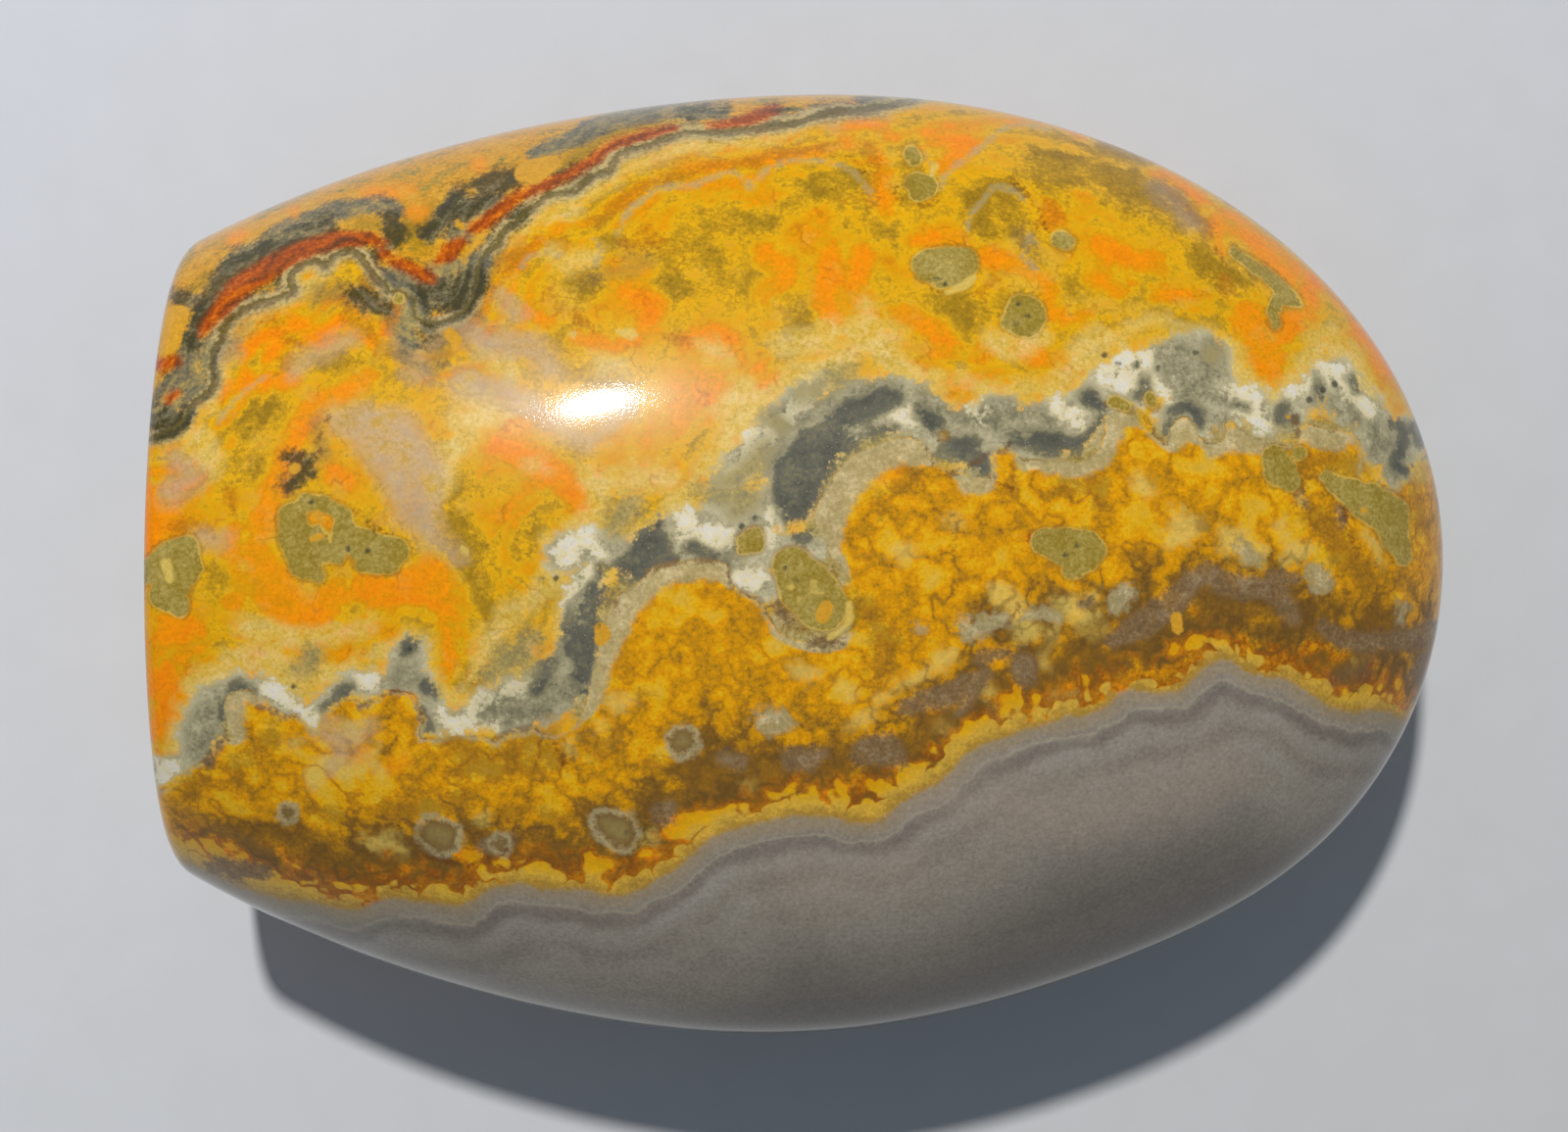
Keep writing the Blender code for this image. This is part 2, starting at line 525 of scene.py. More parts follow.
CLOUD_EDGE = [
    (100, 800), (150, 802), (166, 806), (182, 798), (194, 783), (206, 776), (216, 766), (226, 757),
    (238, 754), (233, 742), (230, 730), (229, 718), (234, 708), (246, 704), (258, 706), (266, 718),
    (280, 722), (292, 731), (302, 728), (312, 737), (322, 748), (328, 728), (340, 720), (350, 712),
    (360, 711), (370, 719), (382, 715), (394, 704), (408, 704), (420, 709), (428, 722), (436, 735),
    (429, 748), (430, 754), (446, 754), (462, 750), (478, 750), (494, 752), (506, 757), (516, 750),
    (530, 749), (544, 741), (554, 749), (568, 751), (582, 744), (592, 734), (600, 716), (603, 698),
    (606, 680), (612, 668), (608, 656), (618, 640), (622, 622), (632, 606), (646, 600), (656, 592),
    (662, 582), (676, 576), (698, 574), (712, 570), (726, 572), (742, 576), (745, 592), (752, 602),
    (766, 608), (780, 618), (785, 632), (794, 646), (812, 654), (832, 657), (852, 654), (868, 643),
    (876, 628), (876, 608), (868, 592), (856, 576), (846, 566), (842, 552), (834, 540), (831, 524),
    (838, 506), (850, 488), (862, 472), (878, 461), (898, 453), (916, 447), (934, 447), (944, 456),
    (951, 468), (964, 478), (982, 484), (1000, 489), (1012, 484), (1011, 466), (1022, 455), (1034, 460),
    (1046, 470), (1062, 468), (1082, 469), (1098, 474), (1110, 470), (1124, 458), (1129, 440), (1127, 424),
    (1142, 420), (1156, 426), (1168, 436), (1180, 447), (1192, 456), (1193, 440), (1200, 428), (1212, 427),
    (1221, 436), (1222, 446), (1230, 450), (1242, 453), (1251, 447), (1252, 428), (1264, 438), (1276, 444),
    (1290, 448), (1302, 452), (1318, 454), (1326, 444), (1328, 430), (1344, 436), (1360, 440), (1378, 442),
    (1388, 450), (1391, 468), (1390, 484), (1402, 496), (1424, 498), (1436, 488), (1446, 470), (1460, 462),
    (1490, 470), (1560, 520), (1640, 560),
]
CLOUD_CLOSING = [(1640, 1300), (60, 1300), (60, 800)]
GREY_EDGE = [
    (60, 870), (150, 872), (200, 882), (250, 905), (285, 915), (320, 918), (345, 925), (365, 926),
    (382, 918), (402, 914), (425, 917), (448, 919), (468, 922), (482, 917), (494, 906), (512, 901),
    (532, 899), (552, 904), (575, 905), (600, 905), (618, 912), (640, 911), (656, 903), (672, 894),
    (690, 884), (704, 870), (718, 858), (736, 848), (760, 840), (788, 835), (812, 829), (832, 831),
    (850, 831), (868, 836), (888, 838), (903, 832), (914, 820), (936, 806), (952, 800), (968, 787),
    (984, 768), (1004, 756), (1026, 750), (1046, 741), (1070, 736), (1088, 728), (1108, 727), (1126, 719),
    (1140, 706), (1158, 701), (1180, 706), (1200, 703), (1216, 690), (1232, 676), (1246, 670), (1258, 672),
    (1270, 682), (1290, 688), (1312, 690), (1328, 700), (1346, 711), (1358, 720), (1378, 724), (1402, 722),
    (1418, 724), (1436, 735), (1470, 742), (1520, 730), (1640, 700),
]
GREY_CLOSING = [(1640, 1300), (60, 1300)]

fields["lace_edge"] = edge_distance(LACE_LINE, LACE_CLOSING)
fields["cloud_edge"] = edge_distance(CLOUD_EDGE, CLOUD_CLOSING)
fields["grey_edge"] = edge_distance(GREY_EDGE, GREY_CLOSING)
for name, field in fields.items():
    print(name, "share of the stone beyond it:", round(float((field > 0).mean()), 2))

# %% [markdown]
# ## The cloud
#
# A ribbon of white, ash grey and charcoal runs through the gold like smoke. White is the widest,
# ash lies on it in lobes, and the charcoal hugs the ribbon's lower edge.

# %% Strokes of the cloud
CLOUD = [
    [(736, 496, 14), (758, 474, 18), (782, 446, 18), (806, 416, 15), (836, 394, 13)],
    [(158, 788, 14), (176, 780, 12), (196, 772, 14), (204, 745, 24), (216, 715, 18), (240, 702, 14)],
    [(240, 702, 14), (262, 700, 12), (284, 714, 12), (304, 724, 13), (320, 738, 9)],
    [(322, 722, 9), (340, 708, 11), (360, 698, 14), (384, 700, 12), (402, 692, 13), (416, 672, 22)],
    [(416, 690, 20), (436, 706, 13), (442, 734, 14), (464, 736, 13), (490, 728, 18), (520, 712, 24)],
    [(520, 722, 26), (552, 708, 28), (580, 692, 26), (590, 656, 22), (592, 622, 20), (600, 592, 20)],
    [(575, 565, 20), (600, 558, 20), (624, 560, 16), (650, 570, 24), (672, 556, 22), (690, 540, 20)],
    [(700, 540, 22), (728, 540, 26), (752, 548, 24), (776, 560, 22), (800, 560, 18), (830, 560, 16)],
    [(752, 520, 20), (782, 524, 22), (806, 506, 30), (812, 474, 34), (832, 448, 34), (862, 424, 32)],
    [(700, 560, 14), (730, 565, 12), (760, 590, 18), (785, 598, 14)],
    [(862, 424, 32), (896, 412, 30), (930, 418, 28), (960, 436, 26), (990, 446, 30), (1020, 432, 30)],
    [(1000, 470, 16), (1050, 440, 28), (1090, 434, 28), (1112, 414, 24), (1136, 392, 24)],
    [(1136, 392, 24), (1160, 384, 28), (1190, 376, 28), (1220, 372, 36), (1228, 402, 36), (1204, 424, 24)],
    [(1228, 420, 26), (1256, 418, 18), (1276, 412, 18), (1294, 430, 20), (1318, 420, 18)],
    [(1318, 416, 18), (1342, 394, 18), (1362, 382, 20), (1374, 408, 22), (1400, 426, 20), (1412, 452, 24)],
    [(1412, 452, 24), (1436, 436, 14), (1446, 442, 12), (1424, 482, 16)],
]
ASH = [
    [(566, 664, 13), (548, 690, 14), (574, 636, 12)],
    [(1300, 474, 8), (1320, 482, 7)],
    [(498, 722, 15), (530, 716, 17), (560, 712, 17), (586, 700, 12)],
    [(700, 600, 9), (730, 590, 10), (750, 560, 12), (770, 548, 12)],
    [(214, 732, 17), (208, 750, 19), (200, 768, 11)],
    [(576, 628, 6), (568, 650, 9)],
    [(506, 738, 12), (530, 726, 20), (562, 716, 26), (584, 704, 14)],
    [(420, 668, 9), (414, 684, 12), (404, 696, 8), (428, 692, 7)],
    [(760, 465, 17), (790, 452, 14), (776, 478, 14)],
    [(800, 428, 15), (826, 412, 18), (852, 400, 20), (880, 398, 17), (906, 392, 16)],
    [(944, 398, 12), (958, 424, 18), (986, 436, 22), (1016, 428, 22), (1046, 424, 22), (1070, 438, 16)],
    [(1180, 350, 11), (1196, 362, 20), (1216, 384, 28), (1232, 404, 26), (1240, 428, 16), (1238, 356, 14)],
    [(1344, 410, 8), (1366, 414, 12), (1382, 428, 10)],
    [(1404, 440, 12), (1412, 462, 18), (1420, 482, 14)],
    [(1108, 404, 12), (1120, 412, 9)],
]
CHALK = [
    [(806, 420, 8), (826, 402, 8)],
    [(744, 484, 7), (764, 464, 9), (784, 442, 8)],
    [(164, 790, 9), (176, 781, 6)],
    [(272, 703, 6), (288, 711, 6), (306, 722, 6), (318, 736, 7)],
    [(368, 697, 6), (388, 692, 5)],
    [(448, 732, 7), (468, 743, 8), (500, 744, 7)],
    [(478, 722, 6), (500, 712, 7), (522, 704, 6), (546, 692, 7), (562, 683, 6)],
    [(578, 636, 9), (582, 616, 10), (592, 598, 9), (600, 582, 7)],
    [(576, 566, 12), (592, 554, 11), (612, 562, 6)],
    [(700, 546, 10), (702, 526, 9), (690, 522, 6)],
    [(722, 546, 11), (740, 550, 10)],
    [(756, 588, 11), (772, 594, 9)],
    [(784, 545, 8), (798, 532, 7), (790, 520, 6)],
    [(762, 447, 9), (778, 442, 6)],
    [(912, 424, 5), (926, 422, 8), (936, 430, 5)],
    [(868, 436, 6), (878, 444, 5)],
    [(992, 412, 8), (1002, 424, 6)],
    [(1080, 418, 9), (1094, 424, 9), (1104, 436, 6)],
    [(1151, 386, 14)],
    [(1130, 378, 9), (1142, 362, 9), (1168, 362, 8)],
    [(1182, 396, 7), (1192, 408, 6)],
    [(1260, 404, 7), (1274, 402, 7), (1288, 424, 8), (1298, 438, 6), (1262, 420, 5)],
    [(1318, 400, 6), (1334, 390, 7), (1350, 374, 7), (1368, 384, 8), (1378, 402, 6), (1396, 418, 7)],
    [(1240, 440, 7)],
    [(1208, 440, 9)],
]
RIM = [
    [(604, 722, 5), (612, 690, 8), (622, 660, 9), (636, 630, 10), (650, 610, 10), (666, 594, 9)],
    [(666, 594, 9), (690, 584, 8), (720, 581, 8), (740, 586, 6)],
    [(800, 640, 6), (826, 656, 5), (858, 656, 5)],
    [(850, 580, 8), (847, 556, 10), (850, 528, 12), (860, 504, 13), (876, 484, 13), (896, 468, 12)],
    [(896, 468, 12), (920, 461, 10), (940, 468, 7)],
    [(984, 496, 6), (1006, 496, 7)],
    [(1046, 476, 3), (1074, 478, 4), (1100, 482, 5), (1122, 470, 7), (1136, 448, 7), (1142, 430, 6)],
    [(1200, 446, 9), (1210, 440, 9)],
    [(1236, 460, 5), (1262, 452, 7), (1290, 458, 6)],
    [(1340, 448, 6), (1368, 452, 6)],
    [(246, 716, 5), (240, 736, 5), (246, 752, 4)],
]
INK = [
    [(604, 600, 9), (588, 622, 10), (578, 644, 7)],
    [(548, 700, 7), (560, 680, 7)],
    [(1374, 470, 8), (1360, 452, 6)],
    [(668, 556, 15), (646, 576, 15), (628, 600, 15), (610, 630, 14), (600, 660, 12), (594, 690, 9)],
    [(240, 703, 6), (250, 703, 6), (258, 706, 3)],
    [(232, 712, 3), (229, 724, 3), (231, 738, 3), (237, 752, 3)],
    [(332, 722, 4), (345, 713, 5), (352, 705, 8), (359, 701, 4)],
    [(414, 660, 6), (422, 655, 4)],
    [(434, 702, 6), (444, 706, 5)],
    [(436, 740, 7), (431, 727, 4)],
    [(592, 736, 4), (599, 718, 4), (596, 700, 5), (594, 680, 9), (590, 660, 11), (588, 642, 8), (595, 632, 5)],
    [(612, 580, 5), (620, 594, 7), (618, 610, 7), (620, 628, 5)],
    [(640, 596, 8), (650, 582, 12), (654, 562, 14), (662, 548, 12), (672, 534, 6)],
    [(674, 566, 9), (686, 572, 5)],
    [(704, 556, 7), (716, 562, 6), (728, 568, 4)],
    [(820, 540, 14), (814, 520, 22), (806, 498, 20), (810, 478, 18), (828, 458, 20), (848, 462, 20)],
    [(828, 500, 14), (846, 478, 14), (866, 456, 12), (890, 446, 11), (910, 440, 7)],
    [(850, 440, 14), (866, 426, 14), (884, 416, 13), (902, 409, 12), (918, 406, 7)],
    [(938, 420, 7), (950, 430, 9), (956, 440, 6)],
    [(966, 462, 10), (984, 460, 13), (1000, 472, 11), (1005, 482, 7)],
    [(1034, 450, 6), (1056, 450, 10), (1080, 456, 12), (1104, 458, 13), (1116, 446, 11), (1124, 430, 8)],
    [(1112, 406, 7), (1122, 413, 5)],
    [(1196, 420, 6), (1212, 416, 7), (1221, 423, 6), (1221, 434, 4)],
    [(1193, 432, 4), (1191, 444, 4), (1196, 452, 3)],
    [(1164, 388, 5), (1170, 398, 5), (1160, 402, 4)],
    [(1262, 413, 4), (1272, 417, 4)],
    [(1310, 416, 6), (1304, 429, 6), (1320, 428, 4)],
    [(1342, 382, 4), (1345, 400, 5)],
    [(1378, 388, 5), (1383, 398, 5)],
    [(1424, 430, 4), (1434, 442, 7), (1430, 458, 5), (1427, 476, 6), (1438, 479, 4)],
    [(1442, 438, 8), (1450, 448, 6)],
    [(1368, 592, 6)],
]
print("strokes:", len(CLOUD), len(ASH), len(CHALK), len(INK))

# %% [markdown]
# ## The dark corner
#
# Beyond the lace line the bands are thin and steep: a rust red one, a slate and black one, and
# peach and orange outside them, with drops of olive and mustard squeezed between.

# %% Strokes of the dark corner
RUST = [
    [(206, 340, 4), (215, 328, 6), (225, 315, 8), (235, 302, 9), (246, 292, 10), (259, 284, 10), (273, 275, 10)],
    [(273, 275, 10), (287, 267, 9), (302, 259, 8), (320, 251, 8), (336, 246, 7), (352, 244, 8), (368, 243, 7)],
    [(368, 243, 7), (382, 243, 6), (390, 250, 4)],
    [(392, 258, 5), (402, 266, 5), (416, 272, 6), (430, 280, 6), (440, 284, 5)],
    [(470, 248, 6), (458, 256, 9), (448, 266, 5)],
    [(484, 232, 7), (498, 224, 7), (512, 213, 6), (526, 202, 6), (542, 194, 5), (560, 187, 5), (580, 178, 4)],
    [(580, 178, 4), (596, 169, 4), (608, 161, 5), (618, 152, 5), (632, 145, 4), (652, 139, 4), (690, 130, 3)],
    [(722, 127, 4), (740, 126, 4), (756, 124, 5), (776, 118, 6), (790, 112, 5)],
    [(164, 372, 7), (178, 368, 5)],
    [(172, 408, 5), (180, 402, 4)],
    [(1050, 547, 4)],
]
SLATE = [
    [(230, 274, 5), (238, 264, 5), (252, 256, 6), (270, 250, 6), (286, 243, 7), (300, 236, 8), (314, 228, 9)],
    [(314, 228, 9), (328, 221, 10), (344, 216, 8), (362, 212, 6), (384, 209, 5), (402, 213, 5)],
    [(210, 314, 7), (204, 330, 8), (198, 346, 8), (194, 362, 8), (188, 378, 8), (180, 392, 9), (172, 400, 9)],
    [(196, 395, 11), (205, 380, 6), (208, 362, 4), (210, 350, 4)],
    [(176, 412, 12), (162, 422, 10), (190, 424, 6)],
    [(404, 284, 12), (418, 296, 14), (440, 298, 15), (462, 296, 14), (478, 284, 11), (490, 266, 7)],
    [(424, 316, 12), (414, 332, 9), (420, 350, 6)],
    [(444, 276, 7), (466, 272, 8)],
    [(440, 240, 5), (450, 224, 6), (466, 208, 9), (480, 214, 9), (462, 240, 7), (478, 240, 6)],
    [(505, 206, 9), (492, 216, 8), (482, 226, 5)],
    [(546, 157, 4), (562, 151, 6), (578, 144, 7), (592, 137, 6), (608, 128, 6), (626, 120, 7), (650, 115, 7)],
    [(650, 115, 7), (680, 112, 8), (712, 114, 8), (738, 116, 8)],
    [(280, 236, 4), (296, 226, 3)],
    [(880, 102, 3), (905, 104, 3), (925, 103, 3)],
]
TAR = [
    [(366, 300, 5), (384, 310, 6), (376, 316, 4)],
    [(440, 236, 5), (458, 222, 7), (478, 212, 7), (500, 204, 6)],
    [(176, 302, 3), (190, 306, 5), (206, 309, 6), (217, 303, 7), (226, 290, 8), (234, 277, 8), (246, 268, 8)],
    [(246, 268, 8), (260, 262, 7), (276, 255, 6), (290, 250, 5), (306, 244, 4), (318, 237, 5), (334, 230, 5)],
    [(214, 312, 4), (206, 324, 4), (200, 336, 4), (197, 350, 3)],
    [(398, 226, 5), (402, 238, 5), (396, 250, 5), (386, 256, 3)],
    [(158, 428, 9), (170, 424, 9), (180, 426, 8), (168, 438, 7)],
    [(492, 190, 7), (508, 187, 8), (524, 182, 5)],
    [(486, 206, 5), (498, 200, 6)],
    [(466, 197, 4), (474, 204, 3)],
    [(530, 219, 5)],
    [(366, 302, 7), (374, 306, 5)],
    [(388, 310, 7), (396, 316, 4)],
    [(436, 296, 6), (448, 304, 8), (464, 302, 9), (474, 312, 5), (473, 286, 6)],
    [(486, 296, 5), (490, 286, 4)],
    [(434, 334, 5), (438, 340, 4)],
    [(700, 112, 4), (722, 117, 6), (738, 116, 6)],
    [(292, 467, 1), (302, 464, 1), (314, 470, 2), (316, 482, 1)],
    [(294, 495, 1), (306, 489, 2), (312, 484, 1)],
]
MUSTARD = [
    [(172, 320, 7), (186, 319, 7)],
    [(170, 336, 8), (178, 334, 7)],
    [(168, 350, 6), (176, 352, 5)],
    [(534, 177, 9), (548, 172, 11), (562, 167, 9), (546, 182, 6)],
    [(466, 227, 4), (471, 230, 4)],
    [(458, 340, 6), (466, 348, 6), (464, 356, 4)],
    [(613, 652, 7), (616, 645, 7), (611, 640, 5)],
    [(839, 628, 8), (843, 621, 7)],
    [(1200, 630, 6), (1202, 642, 6)],
    [(300, 478, 6)],
    [(390, 529, 7), (384, 534, 5)],
    [(322, 525, 5), (330, 530, 4)],
    [(320, 549, 4), (328, 546, 3)],
    [(1392, 521, 4)],
    [(1314, 426, 3)],
]
print("strokes:", len(RUST), len(SLATE), len(TAR), len(MUSTARD))

# %% [markdown]
# ## The gold
#
# The middle of the stone is golden, with soft patches of olive, orange, straw and pink that fade
# into each other, and thin pale arcs where one growth of the mineral stopped and the next began.
# Some straw patches round the sun's glint are painted sheen: they pale the gold where its halo falls.

# %% Strokes of the gold
OLIVE = [
    [(1060, 170, 13), (1110, 174, 17), (1160, 190, 16), (1200, 215, 14)],
    [(1020, 212, 11), (1034, 236, 12)],
    [(1230, 258, 12), (1262, 288, 12)],
    [(800, 186, 9), (840, 178, 10), (880, 186, 9)],
    [(530, 622, 15), (560, 600, 13)],
    [(446, 702, 11), (474, 694, 12)],
    [(414, 216, 9), (424, 232, 11), (432, 246, 8)],
    [(560, 152, 7), (590, 144, 8), (620, 134, 7)],
    [(330, 372, 9), (352, 366, 8)],
    [(470, 560, 14), (480, 600, 14), (500, 640, 12)],
    [(560, 520, 12), (540, 560, 12)],
    [(820, 320, 10), (800, 350, 9)],
    [(682, 264, 14), (698, 246, 17), (724, 230, 18), (752, 224, 16), (780, 226, 10)],
    [(688, 290, 14), (684, 268, 14), (720, 262, 12)],
    [(806, 205, 10), (822, 196, 11), (846, 198, 12), (868, 206, 12), (888, 218, 10), (902, 236, 8)],
    [(998, 206, 8), (1016, 199, 9), (1034, 204, 8)],
    [(1058, 180, 9), (1080, 170, 10), (1108, 164, 12), (1136, 160, 13), (1160, 172, 9)],
    [(1120, 150, 8), (1150, 158, 6)],
    [(590, 292, 9), (604, 288, 9)],
    [(252, 436, 6), (264, 422, 8), (280, 412, 7)],
    [(246, 476, 7), (256, 478, 7)],
    [(344, 372, 11), (350, 366, 8)],
    [(212, 290, 9), (198, 296, 7), (222, 279, 6)],
    [(362, 228, 9), (386, 230, 9)],
    [(424, 232, 10), (436, 218, 14), (432, 246, 12)],
    [(452, 208, 6), (462, 198, 5)],
    [(582, 160, 8), (598, 150, 10), (618, 140, 8), (640, 132, 7), (668, 126, 5), (690, 122, 4)],
    [(978, 312, 16), (984, 336, 14), (966, 306, 8)],
    [(1200, 328, 7), (1222, 332, 8), (1246, 330, 7)],
    [(372, 676, 8), (380, 668, 7)],
    [(468, 540, 6), (464, 510, 7), (474, 484, 7)],
    [(1262, 250, 5), (1250, 244, 3)],
    [(880, 640, 14), (866, 660, 12), (886, 612, 9)],
    [(700, 768, 8), (712, 755, 9), (720, 745, 6)],
    [(600, 720, 3)],
    [(1010, 240, 6), (990, 225, 5)],
    [(480, 640, 8), (470, 660, 6)],
]
RUSSET = [
    [(604, 228, 6), (618, 218, 7), (634, 204, 7), (654, 192, 6), (680, 181, 6), (706, 175, 5), (732, 167, 5)],
    [(732, 167, 5), (764, 166, 6), (784, 158, 7), (812, 154, 6), (846, 152, 5)],
    [(668, 166, 5), (690, 162, 5), (720, 156, 4)],
    [(660, 236, 7), (672, 244, 6), (640, 250, 5)],
    [(530, 250, 8), (524, 268, 7), (516, 284, 5), (550, 247, 6), (572, 250, 5)],
    [(1068, 214, 7), (1078, 226, 8), (1062, 230, 5)],
    [(886, 150, 6), (892, 176, 6), (890, 200, 5)],
    [(1190, 190, 6), (1214, 214, 5), (1236, 236, 6)],
    [(250, 300, 4), (300, 350, 6), (290, 372, 6)],
    [(560, 300, 6), (580, 318, 6), (600, 330, 6)],
    [(180, 540, 7), (196, 534, 6), (214, 545, 4)],
    [(240, 520, 5), (232, 500, 4)],
    [(1256, 300, 5), (1248, 284, 4)],
    [(350, 310, 7), (362, 326, 8), (380, 340, 7), (392, 360, 6)],
    [(1000, 300, 6), (1020, 282, 6)],
    [(700, 350, 5), (680, 342, 5)],
]
EMBER = [
    [(462, 612, 18), (476, 636, 18), (474, 660, 12)],
    [(322, 528, 5), (336, 532, 5)],
    [(262, 560, 14), (276, 600, 22), (300, 618, 22), (325, 622, 17), (345, 608, 12)],
    [(372, 598, 12), (400, 604, 16), (425, 596, 20), (445, 590, 18), (462, 620, 20), (468, 650, 14), (460, 680, 10)],
    [(262, 560, 12), (268, 520, 11), (285, 485, 11), (300, 452, 11), (312, 428, 10), (325, 408, 10)],
    [(1270, 320, 14), (1290, 350, 18), (1300, 385, 11)],
    [(263, 560, 9), (280, 596, 15), (300, 616, 17), (322, 620, 15), (340, 604, 9)],
    [(270, 545, 10), (278, 510, 9), (290, 488, 8), (300, 455, 9), (312, 430, 9), (322, 410, 8)],
    [(344, 404, 8), (362, 394, 10), (378, 386, 9)],
    [(370, 598, 10), (396, 602, 12), (420, 592, 16), (440, 578, 13), (456, 596, 18), (468, 622, 17)],
    [(468, 640, 13), (462, 664, 12), (456, 690, 10), (462, 704, 6)],
    [(340, 484, 8), (352, 492, 8)],
    [(176, 638, 12), (196, 640, 10), (168, 650, 9)],
    [(166, 690, 11), (172, 716, 12), (166, 745, 10)],
    [(240, 616, 8), (246, 606, 6)],
    [(506, 455, 7), (526, 460, 11), (548, 472, 10), (570, 484, 13), (588, 506, 12), (598, 530, 6)],
    [(846, 262, 9), (844, 288, 13), (840, 312, 12), (850, 326, 8)],
    [(862, 134, 5), (880, 127, 5), (900, 131, 5), (914, 141, 5)],
    [(896, 158, 8), (902, 174, 9), (900, 196, 8), (906, 216, 8)],
    [(946, 136, 5), (972, 138, 6), (990, 146, 7), (972, 158, 9), (962, 172, 5)],
    [(936, 244, 6), (956, 240, 5)],
    [(918, 316, 6), (942, 332, 10), (960, 340, 11), (970, 348, 7)],
    [(1010, 262, 11), (1030, 266, 11), (1046, 276, 8), (1066, 286, 8), (1072, 304, 7)],
    [(1078, 320, 8), (1096, 326, 7), (1110, 322, 5)],
    [(1044, 356, 8), (1060, 362, 8)],
    [(1112, 282, 5), (1130, 292, 6), (1142, 299, 4)],
    [(1156, 290, 4)],
    [(1246, 258, 6), (1242, 226, 8), (1256, 226, 8), (1276, 246, 9), (1300, 266, 8), (1318, 282, 8)],
    [(1336, 292, 8), (1338, 312, 8), (1326, 326, 8), (1306, 340, 12), (1284, 352, 15), (1292, 374, 13)],
    [(1270, 326, 13), (1290, 344, 16), (1300, 388, 8)],
    [(1384, 338, 8), (1402, 354, 8), (1416, 376, 8)],
    [(590, 345, 6), (606, 352, 7), (628, 356, 6), (646, 350, 6)],
    [(700, 350, 6), (716, 342, 8), (736, 340, 8), (750, 348, 4)],
    [(775, 378, 4)],
    [(250, 356, 7), (264, 348, 9), (282, 342, 9), (276, 360, 8)],
    [(430, 216, 9), (420, 214, 6)],
    [(240, 243, 7), (252, 238, 5)],
    [(372, 198, 5), (392, 196, 6), (418, 196, 5)],
    [(300, 218, 6)],
    [(490, 168, 7)],
    [(530, 250, 8), (524, 268, 7), (516, 284, 5), (550, 247, 6)],
    [(780, 260, 10), (800, 280, 12), (780, 300, 10)],
    [(640, 300, 8), (670, 310, 8), (660, 330, 6)],
    [(540, 320, 5), (560, 330, 6)],
    [(300, 330, 9), (330, 345, 9), (345, 330, 6)],
    [(380, 350, 8), (400, 330, 8), (410, 310, 5)],
    [(230, 400, 7), (250, 390, 8), (300, 388, 7)],
    [(1120, 250, 8), (1150, 262, 9), (1180, 270, 8)],
    [(1180, 300, 8), (1210, 300, 7)],
    [(880, 260, 9), (872, 285, 8)],
    [(240, 540, 6), (236, 570, 6), (244, 590, 6)],
    [(860, 138, 4), (866, 150, 4)],
    [(1076, 224, 8), (1068, 214, 6)],
    [(900, 490, 8), (918, 480, 6)],
    [(268, 720, 5)],
    [(372, 768, 6), (366, 776, 5)],
    [(400, 778, 9), (414, 776, 7)],
    [(415, 706, 5)],
    [(1172, 180, 6), (1190, 176, 6), (1210, 190, 7), (1226, 204, 7)],
    [(726, 566, 5)],
]
